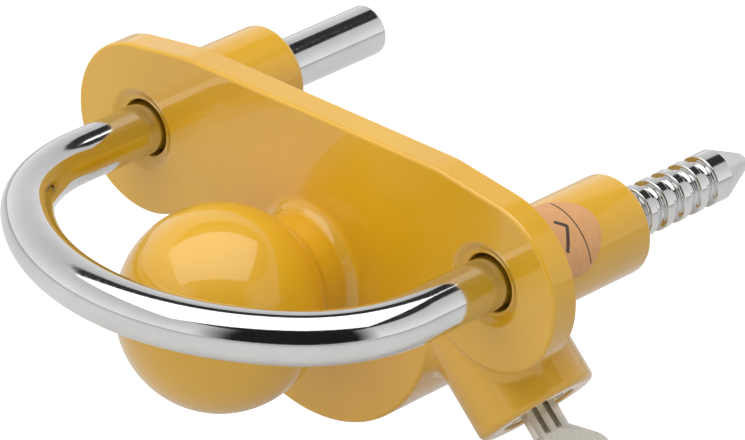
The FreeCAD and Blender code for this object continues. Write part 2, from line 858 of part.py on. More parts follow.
def make_plug():
    body = new_body("plug_core")
    sketch = new_sketch(body, "plug_section", "XY_Plane", plug_back)
    draw_circle(sketch, size("plug_radius"))
    pad(body, sketch, plug_front - plug_back)
    journal = new_sketch(body, "journal_section", "XY_Plane", clip_low - free_gap)
    draw_circle(journal, size("journal_radius"))
    pad(body, journal, plug_back - clip_low + free_gap)
    tail = new_sketch(body, "tail_section", "XY_Plane", cam_low + fit_gap)
    draw_rectangle(tail, size("tail_width"), size("tail_width"))
    pad(body, tail, clip_low - cam_low - fit_gap)
    # groove for the clip
    seat = new_sketch(body, "clip_seat", "XZ_Plane")
    seat_depth = Size(1.0)
    draw_rectangle(seat, seat_depth * 2, size("clip_thickness") + fit_gap * 2,
                   size("journal_radius"), (clip_low + clip_top) / 2)
    revolve(body, seat, "Groove")
    keyway = new_sketch(body, "keyway", "XY_Plane", plug_back + 1)
    draw_rectangle(keyway, size("key_thickness") + fit_gap * 4, size("key_width") + fit_gap * 4)
    pocket(body, keyway, plug_front - plug_back, reverse=True)
    # slots for the wafers, with a pocket at the side of each for its spring
    slot = new_sketch(body, "wafer_slot", "XY_Plane", first_wafer - fit_gap)
    draw_rectangle(slot, size("wafer_width") + fit_gap * 2, size("plug_radius") * 2 + 2)
    first_slot = pocket(body, slot, size("wafer_thickness") + fit_gap * 2, reverse=True)
    row_of(body, first_slot, "Z_Axis", wafer_row, size("wafer_count"))
    pocket_sketch = new_sketch(body, "spring_pocket", "XY_Plane", first_wafer - fit_gap)
    draw_rectangle(pocket_sketch, spring_room(), spring_reach(), spring_x(), spring_middle())
    first_pocket = pocket(body, pocket_sketch, size("wafer_thickness") + fit_gap * 2, reverse=True)
    row_of(body, first_pocket, "Z_Axis", wafer_row, size("wafer_count"))
    return place_in_housing(body)


def spring_room():
    return size("spring_radius") * 2 + free_gap + 1


def spring_x():
    """Middle of the spring pocket, which opens into the wafer's slot."""
    return size("wafer_width") / 2 + spring_room() / 2 - Size(0.5)


def spring_reach():
    return size("plug_radius")


def spring_middle():
    return -size("plug_radius") * Size(0.1)


def make_wafers():
    """Thin plates with a window for the key, and an ear that the spring pushes."""
    limit = size("plug_radius") - fit_gap
    wafers = []
    for index in range(int(size("wafer_count").number)):
        low = first_wafer + size("wafer_pitch") * index
        thickness = size("wafer_thickness")
        plate = block(size("wafer_width"), limit * 2, thickness, z=low)
        ear = block(Size(2.0), Size(1.0), thickness, size("wafer_width") / 2 + 0.3, Size(1.5), low)
        window = block(size("key_thickness") + free_gap * 2, size("key_width") + free_gap * 2,
                       thickness + 2, z=low - 1)
        disc = cylinder(limit, thickness, z=low)
        wafers.append(cut(common(fuse(plate, ear), disc), window))
    return place_in_housing(group(*wafers))


def make_wafer_springs():
    """One small coil spring beside each wafer, between its pocket's end and the ear."""
    radius = size("spring_radius").number - 0.25
    wire = size("spring_wire").number
    start = (spring_middle() - spring_reach() / 2).number + 0.25
    end = 1.5 - 0.5 - 0.2
    turns = 5
    height = end - start
    helix = Part.makeHelix(height / turns, height, radius)
    section = Part.Wire(Part.makeCircle(wire, FreeCAD.Vector(radius, 0, 0), FreeCAD.Vector(0, 1, 0)))
    coil = Part.Wire(helix).makePipeShell([section], True, True)
    coil.rotate(FreeCAD.Vector(), FreeCAD.Vector(1, 0, 0), -90)
    springs = []
    for index in range(int(size("wafer_count").number)):
        middle = (first_wafer + size("wafer_pitch") * index + size("wafer_thickness") / 2).number
        copy = coil.copy()
        copy.translate(FreeCAD.Vector(spring_x().number + 0.2, start, middle))
        springs.append(copy)
    item = doc.addObject("Part::Feature", "Springs")
    item.Shape = Part.makeCompound(springs)
    return place_in_housing(item)


def make_clip():
    """Open ring that snaps into the plug's groove behind the shell."""
    low, thickness = clip_low, size("clip_thickness")
    outer = cylinder(size("journal_radius") + 1.3, thickness, z=low)
    inner = cylinder(size("journal_radius") - 1.0 + fit_gap, thickness + 2, z=low - 1)
    mouth = block(Size(3.6), Size(8), thickness + 2, 0, -size("journal_radius") - 1, low - 1)
    return place_in_housing(cut(outer, inner, mouth))


def make_cam():
    """Disc on the plug's square tail, with the eccentric pin that moves the bolt."""
    body = new_body("cam_disc")
    sketch = new_sketch(body, "cam_section", "XY_Plane", cam_low)
    draw_circle(sketch, size("cam_radius"))
    draw_rectangle(sketch, size("tail_width") + fit_gap * 2, size("tail_width") + fit_gap * 2)
    pad(body, sketch, size("cam_thickness"))
    web = new_sketch(body, "cam_web", "XY_Plane", cam_low - 0.8)
    draw_circle(web, size("cam_radius"))
    pad(body, web, 0.8)
    return body


def cam_pin_place():
    side = eccentric * sine(Size(45))
    return side, side


def finish_cam(body):
    x, y = cam_pin_place()
    pin = new_sketch(body, "cam_pin", "XY_Plane", size("bolt_radius") - slot_depth + free_gap)
    draw_circle(pin, size("cam_pin_radius"), x, y)
    pad(body, pin, cam_low - 0.8 - size("bolt_radius") + slot_depth - free_gap)
    return place_in_housing(body)


def make_bolt():
    """Round bolt with a cross slot for the cam's pin and a wedge that fits a notch.

    It is made along -x of the housing, in the drawn-back position.
    """
    half = size("bolt_travel") / 2
    wall = Size(1.9)
    tail = half + size("cam_pin_radius") + free_gap + wall
    clear_of_floor = free_gap
    nose = size("housing_drop") - size("rod_radius") + size("notch_depth") - clear_of_floor - size("bolt_travel")
    radius = size("bolt_radius")
    rod = cylinder(radius, nose + tail, tail, 0, 0, (0, 1, 0), -90)
    slot = block((size("cam_pin_radius") + 0.12) * 2, radius * 2 + 2, radius, half, 0, radius - slot_depth)
    wedge_start = nose - size("notch_depth") - 1.6
    above = wedge_cut(wedge_start, nose, radius, 1)
    below = wedge_cut(wedge_start, nose, radius, -1)
    return place_in_housing(cut(rod, slot, above, below))


def wedge_cut(start, nose, radius, side):
    """Sloped cut that leaves the bolt's nose as wide as bolt_nose_width."""
    body = new_body("nose_cut")
    sketch = new_sketch(body, "nose_profile", "XY_Plane", -radius - 1)
    ridge = -size("bolt_nose_shift")
    tip = ridge + size("bolt_nose_width") / 2 * side
    base = tip + Size(0.45) * side
    edge = (radius + 1) * side
    draw_polygon(sketch, [
        (-start, edge), (-start, base), (-nose + size("notch_depth") * Size(0.6), base),
        (-nose, tip), (-nose - 1, tip), (-nose - 1, edge)])
    pad(body, sketch, (radius + 1) * 2)
    return body


def make_stopper():
    """Plug that closes the outer end of the bolt's bore in the right sleeve."""
    outer = size("sleeve_radius")
    start = size("housing_drop") + outer - size("stopper_length") - 0.6
    stopper = cylinder(size("bolt_radius"), size("stopper_length"), -start, 0, 0, (0, 1, 0), -90)
    return place_in_housing(group(stopper))


def make_key():
    """Flat key, in place with its shoulder against the plug's face."""
    body = new_body("key_blank")
    half = size("key_width") / 2
    neck = size("key_neck_width") / 2
    bow = size("bow_width") / 2
    blade_tip = plug_back + 1.6
    seat = face + free_gap
    neck_end = seat + size("key_neck_length")
    flare = neck_end + (bow - neck) * Size(0.8)
    bow_end = neck_end + size("bow_length")
    shape = new_sketch(body, "key_outline", "YZ_Plane", -size("key_thickness") / 2)
    draw_polygon(shape, [
        (-half + 1.6, blade_tip), (half - 1.6, blade_tip), (half, blade_tip + 2), (half, seat),
        (neck, seat), (neck, neck_end), (bow, flare), (bow, bow_end), (-bow, bow_end), (-bow, flare),
        (-neck, neck_end), (-neck, seat), (-half, seat), (-half, blade_tip + 2)])
    blank = pad(body, shape, size("key_thickness"))
    corner_limit = neck_end.number + 1

    def at_bow_corner(edge):
        return all(vertex.Point.z > corner_limit for vertex in edge.Vertexes) and (
            abs(edge.Length - size("key_thickness").number) < 1e-4)

    round_edges(body, blank, size("bow_corner_round"), at_bow_corner)
    hole = new_sketch(body, "ring_hole", "YZ_Plane", -size("key_thickness"))
    draw_circle(hole, size("key_ring_hole_radius"), 0, bow_end - 8)
    pocket(body, hole, size("key_thickness") * 2, reverse=True)
    # milled grooves on both broad faces, running out just past the shoulder
    for side in (-1, 1):
        groove = new_sketch(body, "key_groove", "YZ_Plane", size("key_thickness") / 2 * side)
        length = neck_end - blade_tip
        for across in (-1, 1):
            draw_rectangle(groove, size("key_groove_width"), length + 2,
                           size("key_groove_spacing") / 2 * across, blade_tip + length / 2 - 1)
        pocket(body, groove, size("key_groove_depth"), reverse=(side < 0))
    # cuts for the wafers, on alternate edges
    for index in range(int(size("wafer_count").number)):
        middle = first_wafer + size("wafer_pitch") * index + size("wafer_thickness") / 2
        deep = Size((0.5, 0.9, 0.4, 0.7, 0.6)[index % 5])
        side = 1 if index % 2 == 0 else -1
        notch = new_sketch(body, "bitting", "YZ_Plane", -size("key_thickness"))
        draw_polygon(notch, [
            ((half + 0.5) * side, middle - 1.1), ((half - deep) * side, middle - 0.45),
            ((half - deep) * side, middle + 0.45), ((half + 0.5) * side, middle + 1.1)])
        pocket(body, notch, size("key_thickness") * 2, reverse=True)
    return place_in_housing(body)


def make_label():
    """Round adhesive label wrapped on the outside of the right sleeve."""
    inner = size("sleeve_radius") + 0.02
    thickness = size("label_thickness")
    skin = cut(cylinder(inner + thickness, size("sleeve_length")), cylinder(inner, size("sleeve_length")))
    punch = cylinder(size("label_radius"), size("sleeve_radius") + 3, 0, 0, size("label_distance"), (0, 1, 0), 90)
    patch = common(skin, punch)
    turned = place(group(patch), 0, 0, 0, (0, 0, 1), -size("label_turn"))
    return place_on_leg(group(turned), 1, plate_back)


nodes = {
    "face_plate": make_face_plate,
    "left_sleeve": make_left_sleeve,
    "right_sleeve": make_right_sleeve,
    "sleeve_welds": make_sleeve_welds,
    "hub_wall": make_hub_wall,
    "hub_back_plate": make_hub_back,
    "coupler_ball": make_coupler_ball,
    "shackle": make_shackle,
    "lock_housing": make_lock_housing,
    "cylinder_shell": make_cylinder_shell,
    "shell_seal": make_seal,
    "shell_retaining_pin": make_retaining_pin,
    "lock_plug": make_plug,
    "wafer_tumblers": make_wafers,
    "wafer_springs": make_wafer_springs,
    "plug_clip": make_clip,
    "drive_cam": lambda: finish_cam(make_cam()),
    "locking_bolt": make_bolt,
    "bolt_bore_stopper": make_stopper,
    "key": make_key,
    "inspection_label": make_label,
}

made = {}
for node, make in nodes.items():
    made[node] = make()
    made[node].Label = node
doc.recompute()

for item in doc.Objects:
    if "Invalid" in item.State or "Error" in item.State:
        raise RuntimeError(f"{item.Label} ({item.Name}) did not build: {item.State}")
for node, item in made.items():
    shape = item.Shape
    if shape.isNull() or not shape.isValid() or not shape.Solids:
        raise RuntimeError(f"{node} has no valid solid")

os.makedirs("parts", exist_ok=True)
for node, item in made.items():
    item.Shape.exportStep(f"parts/{node}.step")
    print(f"{node:20s} {len(item.Shape.Solids)} solid(s) {item.Shape.Volume:10.1f} mm3")
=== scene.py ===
import math
import bpy
import bmesh
import numpy as np
from mathutils import Matrix, Vector, geometry


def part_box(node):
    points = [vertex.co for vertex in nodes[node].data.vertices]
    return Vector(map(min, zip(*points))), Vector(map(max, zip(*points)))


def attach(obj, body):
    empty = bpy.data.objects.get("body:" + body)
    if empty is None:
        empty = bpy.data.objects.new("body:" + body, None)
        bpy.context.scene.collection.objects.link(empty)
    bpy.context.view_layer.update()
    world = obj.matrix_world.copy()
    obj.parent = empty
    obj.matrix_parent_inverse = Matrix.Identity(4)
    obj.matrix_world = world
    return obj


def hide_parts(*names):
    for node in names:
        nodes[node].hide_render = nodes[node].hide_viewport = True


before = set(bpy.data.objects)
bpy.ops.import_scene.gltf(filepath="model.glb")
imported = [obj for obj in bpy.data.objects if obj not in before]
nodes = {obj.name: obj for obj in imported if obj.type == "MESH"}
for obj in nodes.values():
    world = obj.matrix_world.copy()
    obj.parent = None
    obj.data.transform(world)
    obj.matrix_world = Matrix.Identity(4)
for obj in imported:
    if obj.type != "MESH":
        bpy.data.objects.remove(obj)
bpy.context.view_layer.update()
print("packed frame loaded")

mm = 0.001


# shared places
# millimetres from the centre of the ball, the same sizes as the frame

body = {
    "plateFront": 28.2, "plateThick": 7.2, "legX": 55.0, "legZ": 15.4,
    "lobeRadius": 21.0, "topRise": 23.3, "shoulder": 40.0,
    "shoulderEase": 26.0, "waistRadius": 5.0, "hubRadius": 38.0, "hubTop": 18.0, "hubBack": 55.4,
    "barrelRadius": 14.6, "barrelFromLeg": 23.65,
}
plateBack = body["plateFront"] + body["plateThick"]
half = math.sqrt(0.5)
aside = body["barrelFromLeg"] * half
lockOrigin = Vector((body["legX"] - aside, body["plateFront"] + body["barrelRadius"], body["legZ"] - aside))
lockAxis = Vector((half, 0, -half))      # out of the key face
lockSide = Vector((-half, 0, -half))     # away from the notched leg
lockFrame = (lockOrigin, lockAxis, lockSide)


def alongY(x, y, z):
    return (Vector((x, y, z)), Vector((0, 1, 0)), Vector((0, 0, 1)))


# mesh making

def link(thing):
    bpy.context.scene.collection.objects.link(thing)
    return thing


# points at one place are joined, and each corner of a face keeps the normal it was given
def meshObject(name, verts, faces, normals=None, material=None):
    spots, known, joined = [], {}, []
    for v in verts:
        key = tuple(round(c, 4) for c in v)
        if key not in known:
            known[key] = len(spots)
            spots.append(tuple(c * mm for c in v))
        joined.append(known[key])
    polygons = []
    for face in faces:
        corners = [(joined[i], i) for n, i in enumerate(face) if joined[i] != joined[face[n - 1]]]
        if len({c[0] for c in corners}) > 2:
            polygons.append(corners)
    bm = bmesh.new()
    made = [bm.verts.new(v) for v in spots]
    for corners in polygons:
        bm.faces.new([made[c[0]] for c in corners])
    if bm.calc_volume(signed=True) < 0:
        polygons = [corners[::-1] for corners in polygons]
    bm.free()
    data = bpy.data.meshes.new(name)
    data.from_pydata(spots, [], [[c[0] for c in corners] for corners in polygons])
    data.shade_smooth()
    if normals is not None:
        given = []
        for corners, face in zip(polygons, data.polygons):
            flat = face.normal.copy()
            given += [flat if normals[c[1]] is None else Vector(normals[c[1]]).normalized() for c in corners]
        data.normals_split_custom_set([tuple(n) for n in given])
    if material:
        data.materials.append(material)
    return link(bpy.data.objects.new(name, data))


def applyModifiers(thing, sharpAngle=35):
    bpy.context.view_layer.update()
    graph = bpy.context.evaluated_depsgraph_get()
    data = bpy.data.meshes.new_from_object(thing.evaluated_get(graph))
    thing.modifiers.clear()
    thing.data = data
    data.shade_smooth()
    data.set_sharp_from_angle(angle=math.radians(sharpAngle))
    return thing


def cutAway(thing, tools):
    given = thing.data.attributes.get("custom_normal")
    if given:
        thing.data.attributes.remove(given)
    for tool in tools:
        modifier = thing.modifiers.new("cut", "BOOLEAN")
        modifier.operation = "DIFFERENCE"
        modifier.solver = "EXACT"
        modifier.object = tool
    applyModifiers(thing)
    for tool in tools:
        bpy.data.objects.remove(tool)
    return thing


# cosine and sine at even steps through a quarter turn
def quarter(steps):
    angles = [math.pi / 2 * k / steps for k in range(steps + 1)]
    return [(math.cos(a), math.sin(a)) for a in angles]


# corners are (radius, height, rounding); the outside is on the right of the way along
def roundedProfile(corners, steps=6):
    out = []
    count = len(corners)
    for i, (r, h, rounding) in enumerate(corners):
        here = Vector((r, h))
        before = (here - Vector(corners[i - 1][:2])).normalized() if i > 0 else None
        after = (Vector(corners[i + 1][:2]) - here).normalized() if i < count - 1 else None
        if before is None or after is None or rounding <= 0:
            out += [(here.x, here.y, way.y, -way.x) for way in (before, after) if way is not None]
            continue
        turn = math.acos(max(-1, min(1, before.dot(after))))
        if turn < 1e-4:
            out.append((here.x, here.y, before.y, -before.x))
            continue
        reach = rounding * math.tan(turn / 2)
        start = here - before * reach
        cross = before.x * after.y - before.y * after.x
        sign = 1 if cross > 0 else -1
        centre = start + Vector((-before.y, before.x)) * rounding * sign
        arm = start - centre
        for k in range(steps + 1):
            a = turn * k / steps * sign
            c, s = math.cos(a), math.sin(a)
            spin = Vector((arm.x * c - arm.y * s, arm.x * s + arm.y * c))
            n = spin.normalized() * sign
            spot = centre + spin
            out.append((spot.x, spot.y, n.x, n.y))
    return out


def turned(name, profile, place, material=None, segments=128):
    origin, axis, side = place
    third = axis.cross(side)
    verts, normals, rings = [], [], []
    for r, h, nr, nh in profile:
        if r < 1e-5:
            rings.append([len(verts)])
            verts.append(origin + axis * h)
            normals.append(axis * (nh if abs(nh) > 1e-6 else 1))
            continue
        ring = []
        for j in range(segments):
            a = 2 * math.pi * j / segments
            out = side * math.cos(a) + third * math.sin(a)
            ring.append(len(verts))
            verts.append(origin + axis * h + out * r)
            normals.append(out * nr + axis * nh)
        rings.append(ring)
    faces = []
    for low, high in zip(rings, rings[1:]):
        for j in range(segments):
            k = (j + 1) % segments
            if len(low) == 1:
                faces.append((low[0], high[k], high[j]))
            elif len(high) == 1:
                faces.append((low[j], low[k], high[0]))
            else:
                faces.append((low[j], low[k], high[k], high[j]))
    return meshObject(name, verts, faces, normals, material)


def rod(place, radius, low, high):
    ends = [(0, low, 0, -1), (radius, low, 1, 0), (radius, high, 1, 0), (0, high, 0, 1)]
    return turned("tool", ends, place, None, 64)


bolt = {"radius": 3.5, "clearance": 0.05, "tail": 8.0, "reach": 28.65}


def boltBore():
    place = (lockOrigin, -lockSide, lockAxis)
    return rod(place, bolt["radius"] + bolt["clearance"], -bolt["tail"], bolt["reach"])


# materials

def newMaterial(name):
    material = bpy.data.materials.new(name)
    material.use_nodes = True
    tree = material.node_tree
    shader = tree.nodes["Principled BSDF"]
    coords = tree.nodes.new("ShaderNodeTexCoord")
    return material, tree, shader, coords.outputs["Object"]


def mathNode(tree, operation, first, second=None, clamp=False):
    node = tree.nodes.new("ShaderNodeMath")
    node.operation = operation
    node.use_clamp = clamp
    for socket, value in zip(node.inputs, (first, second)):
        if isinstance(value, (int, float)):
            socket.default_value = value
        elif value is not None:
            tree.links.new(value, socket)
    return node.outputs[0]


def dotNode(tree, where, direction):
    node = tree.nodes.new("ShaderNodeVectorMath")
    node.operation = "DOT_PRODUCT"
    node.inputs[1].default_value = direction
    tree.links.new(where, node.inputs[0])
    return node.outputs["Value"]


def noise(tree, where, scale, detail=3.0, roughness=0.5):
    node = tree.nodes.new("ShaderNodeTexNoise")
    node.inputs["Scale"].default_value = scale
    node.inputs["Detail"].default_value = detail
    node.inputs["Roughness"].default_value = roughness
    tree.links.new(where, node.inputs["Vector"])
    return node.outputs["Fac"]


def remap(tree, value, low, high, toLow, toHigh):
    node = tree.nodes.new("ShaderNodeMapRange")
    for key, number in zip(("From Min", "From Max", "To Min", "To Max"), (low, high, toLow, toHigh)):
        node.inputs[key].default_value = number
    tree.links.new(value, node.inputs["Value"])
    return node.outputs["Result"]


def blendColour(tree, factor, first, second):
    node = tree.nodes.new("ShaderNodeMix")
    node.data_type = "RGBA"
    sockets = {s.name: s for s in node.inputs if s.type == "RGBA"}
    for key, value in (("A", first), ("B", second)):
        if isinstance(value, (tuple, list)):
            sockets[key].default_value = (*value, 1)
        else:
            tree.links.new(value, sockets[key])
    tree.links.new(factor, node.inputs["Factor"])
    return [s for s in node.outputs if s.type == "RGBA"][0]


def addBump(tree, shader, height, strength, distance, under=None):
    node = tree.nodes.new("ShaderNodeBump")
    node.inputs["Strength"].default_value = strength
    node.inputs["Distance"].default_value = distance
    tree.links.new(height, node.inputs["Height"])
    if under:
        tree.links.new(under, node.inputs["Normal"])
    tree.links.new(node.outputs["Normal"], shader.inputs["Normal"])
    return node.outputs["Normal"]


paint = {
    "colour": (0.78, 0.43, 0.010), "deep": (0.73, 0.39, 0.008), "worn": (0.55, 0.28, 0.02),
    "cloudScale": 22, "grainScale": 700, "speckScale": 1500, "specks": (0.70, 0.76, 0, 0.35),
    "roughness": (0.30, 0.42), "coat": 1.0, "coatRoughness": 0.055, "coatIor": 1.52,
    "peelScale": 420, "peelStrength": 0.35, "peelDepth": 0.00002,
}


def makePaint():
    material, tree, shader, where = newMaterial("yellowPaint")
    cloud = remap(tree, noise(tree, where, paint["cloudScale"], 4, 0.6), 0.35, 0.68, 0, 1)
    base = blendColour(tree, cloud, paint["deep"], paint["colour"])
    specks = remap(tree, noise(tree, where, paint["speckScale"], 2, 0.6), *paint["specks"])
    base = blendColour(tree, specks, base, paint["worn"])
    tree.links.new(base, shader.inputs["Base Color"])
    grain = noise(tree, where, paint["grainScale"], 3)
    tree.links.new(remap(tree, grain, 0.3, 0.7, *paint["roughness"]), shader.inputs["Roughness"])
    shader.inputs["Coat Weight"].default_value = paint["coat"]
    shader.inputs["Coat Roughness"].default_value = paint["coatRoughness"]
    shader.inputs["Coat IOR"].default_value = paint["coatIor"]
    peel = noise(tree, where, paint["peelScale"], 2, 0.4)
    soft = addBump(tree, shader, peel, paint["peelStrength"], paint["peelDepth"])
    tree.links.new(soft, shader.inputs["Coat Normal"])
    return material


chrome = {
    "colour": (0.78, 0.785, 0.78), "dull": (0.70, 0.705, 0.70), "roughness": (0.045, 0.13),
    "hazeScale": 45, "grainScale": 1100, "drawScale": 260,
    "satinFrom": 0.1031, "satinEdge": 0.0004, "satinRoughness": 0.26,
}


def makeChrome():
    material, tree, shader, where = newMaterial("barChrome")
    shader.inputs["Metallic"].default_value = 1
    haze = remap(tree, noise(tree, where, chrome["hazeScale"], 5, 0.65), 0.35, 0.7, 0, 1)
    tree.links.new(blendColour(tree, haze, chrome["colour"], chrome["dull"]), shader.inputs["Base Color"])
    grain = noise(tree, where, chrome["grainScale"], 3, 0.6)
    polished = remap(tree, grain, 0.3, 0.75, *chrome["roughness"])
    # the point of the notched leg is satin
    start, edge = chrome["satinFrom"], chrome["satinEdge"]
    satin = remap(tree, dotNode(tree, where, (0, 1, 0)), start - edge, start + edge, 0, chrome["satinRoughness"])
    tree.links.new(mathNode(tree, "ADD", polished, satin), shader.inputs["Roughness"])
    draw = noise(tree, where, chrome["drawScale"], 3, 0.55)
    first = addBump(tree, shader, draw, 0.10, 0.00002)
    addBump(tree, shader, grain, 0.22, 0.000008, first)
    return material


metal = {"spotScale": 120, "spots": (0.58, 0.75, 0, 0.6), "stain": 0.72, "bumpDepth": 0.000008}


def makeMetal(name, colour, dark, roughness, scale=500):
    material, tree, shader, where = newMaterial(name)
    shader.inputs["Metallic"].default_value = 1
    grain = noise(tree, where, scale, 4, 0.65)
    spots = noise(tree, where, metal["spotScale"], 5, 0.7)
    base = blendColour(tree, remap(tree, grain, 0.3, 0.72, 0, 1), colour, dark)
    stained = tuple(metal["stain"] * c for c in dark)
    base = blendColour(tree, remap(tree, spots, *metal["spots"]), base, stained)
    tree.links.new(base, shader.inputs["Base Color"])
    tree.links.new(remap(tree, grain, 0.3, 0.7, *roughness), shader.inputs["Roughness"])
    addBump(tree, shader, grain, 0.3, metal["bumpDepth"])
    return material


def makePlain(name, colour, dark, roughness, scale=900):
    material, tree, shader, where = newMaterial(name)
    grain = noise(tree, where, scale, 4, 0.6)
    base = blendColour(tree, remap(tree, grain, 0.3, 0.7, 0, 1), colour, dark)
    tree.links.new(base, shader.inputs["Base Color"])
    tree.links.new(remap(tree, grain, 0.3, 0.7, *roughness), shader.inputs["Roughness"])
    addBump(tree, shader, grain, 0.2, 0.00001)
    return material


yellowPaint = makePaint()
barChrome = makeChrome()
lockChrome = makeMetal("lockChrome", (0.70, 0.62, 0.46), (0.60, 0.52, 0.38), (0.14, 0.26), scale=800)
brass = makeMetal("lockBrass", (0.62, 0.50, 0.28), (0.50, 0.40, 0.22), (0.22, 0.36))
hardSteel = makeMetal("hardSteel", (0.50, 0.50, 0.51), (0.38, 0.38, 0.39), (0.25, 0.4))
springSteel = makeMetal("springSteel", (0.45, 0.45, 0.46), (0.34, 0.34, 0.35), (0.2, 0.35))
keyNickel = makeMetal("keyNickel", (0.90, 0.86, 0.77), (0.76, 0.72, 0.64), (0.30, 0.46), scale=1400)
sealRubber = makePlain("sealRubber", (0.022, 0.022, 0.024), (0.035, 0.035, 0.036), (0.55, 0.75))
labelFilm = makePlain("labelFilm", (0.72, 0.38, 0.17), (0.66, 0.33, 0.13), (0.30, 0.42))
labelInk = makePlain("labelInk", (0.05, 0.03, 0.02), (0.09, 0.05, 0.03), (0.4, 0.55), scale=3000)


# painted shade: a dark colour laid into the key's grooves and round the rim of the lock's shell
paintedShade = {
    "colour": (0.045, 0.04, 0.032),
    "grooveAt": 1.85, "grooveHalf": 0.78, "grooveEdge": 0.1,
    "grooveEnd": 33.2, "grooveFade": 0.6, "grooveShade": 0.65,
    "rimFrom": 8.5, "rimTo": 8.7, "rimShade": 0.9,
}


def fromLock(tree, where, direction):
    return mathNode(tree, "SUBTRACT", dotNode(tree, where, direction), lockOrigin.dot(direction) * mm)


# blends the base colour towards the painted shade colour where the mask is set
def darkenWithPaintedShade(material, makeMask):
    tree = material.node_tree
    base = tree.nodes["Principled BSDF"].inputs["Base Color"]
    where = next(n for n in tree.nodes if n.type == "TEX_COORD").outputs["Object"]
    unshadedColour = base.links[0].from_socket
    tree.links.new(blendColour(tree, makeMask(tree, where), unshadedColour, paintedShade["colour"]), base)


# painted shade in the two grooves of the key, up to where they run out
def grooveShadeMask(tree, where):
    across = mathNode(tree, "ABSOLUTE", fromLock(tree, where, Vector((0, 1, 0))))
    offset = mathNode(tree, "ABSOLUTE", mathNode(tree, "SUBTRACT", across, paintedShade["grooveAt"] * mm))
    width, end = paintedShade["grooveHalf"], paintedShade["grooveEnd"]
    inside = remap(tree, offset, (width - paintedShade["grooveEdge"]) * mm, width * mm, 1, 0)
    before = remap(tree, fromLock(tree, where, lockAxis), (end - paintedShade["grooveFade"]) * mm, end * mm,
                   paintedShade["grooveShade"], 0)
    return mathNode(tree, "MULTIPLY", inside, before)


# painted shade in the gap where the lock's shell meets the barrel
def rimShadeMask(tree, where):
    back, side = fromLock(tree, where, Vector((0, 1, 0))), fromLock(tree, where, lockSide)
    squared = mathNode(tree, "ADD", mathNode(tree, "MULTIPLY", back, back), mathNode(tree, "MULTIPLY", side, side))
    away = mathNode(tree, "SQRT", squared)
    return remap(tree, away, paintedShade["rimFrom"] * mm, paintedShade["rimTo"] * mm, 0, paintedShade["rimShade"])


darkenWithPaintedShade(keyNickel, grooveShadeMask)
darkenWithPaintedShade(lockChrome, rimShadeMask)
print("materials made")


# face plate

def outlineHalf():
    # right half, from the top middle clockwise round to the bottom middle
    leg = Vector((body["legX"], body["legZ"]))
    lobe, hub, waist = body["lobeRadius"], body["hubRadius"], body["waistRadius"]
    top = body["legZ"] + body["topRise"]
    peak = Vector((body["shoulder"], top))
    toPeak = peak - leg
    turn = math.atan2(toPeak.y, toPeak.x) - math.acos(lobe / toPeak.length)
    far, fromHub, fromLobe = leg.length, hub + waist, lobe + waist
    along = (fromHub ** 2 - fromLobe ** 2 + far ** 2) / (2 * far)
    off = math.sqrt(fromHub ** 2 - along ** 2)
    unit = leg / far
    waistCentre = unit * along + Vector((unit.y, -unit.x)) * off
    out = []

    def arc(centre, radius, start, end, steps, inward=False):
        for k in range(steps + 1):
            a = start + (end - start) * k / steps
            n = Vector((math.cos(a), math.sin(a)))
            out.append((centre + n * radius, -n if inward else n))

    # gentle rounding of the shoulder
    slope = turn
    ease, straight = body["shoulderEase"], math.pi / 2
    reach = ease * math.tan((straight - slope) / 2)
    easeCentre = Vector((peak.x - reach, peak.y - ease))
    out.append((Vector((0, top)), Vector((0, 1))))
    arc(easeCentre, ease, straight, slope, 4)
    lowLobe = math.atan2(waistCentre.y - leg.y, waistCentre.x - leg.x)
    arc(leg, lobe, turn, lowLobe, 72)
    startWaist = math.atan2(leg.y - waistCentre.y, leg.x - waistCentre.x)
    endWaist = math.atan2(-waistCentre.y, -waistCentre.x)
    arc(waistCentre, waist, startWaist, endWaist, 16, inward=True)
    lowHub = math.atan2(waistCentre.y, waistCentre.x)
    arc(Vector((0, 0)), hub, lowHub, -math.pi / 2, 60)
    return out


plateEdge = {"frontRound": 0.9, "backRound": 0.25}
dish = {"outer": 10.3, "inner": 7.4, "depth": 1.15, "lip": 0.5, "backRound": 0.2, "steps": 10, "segments": 96}


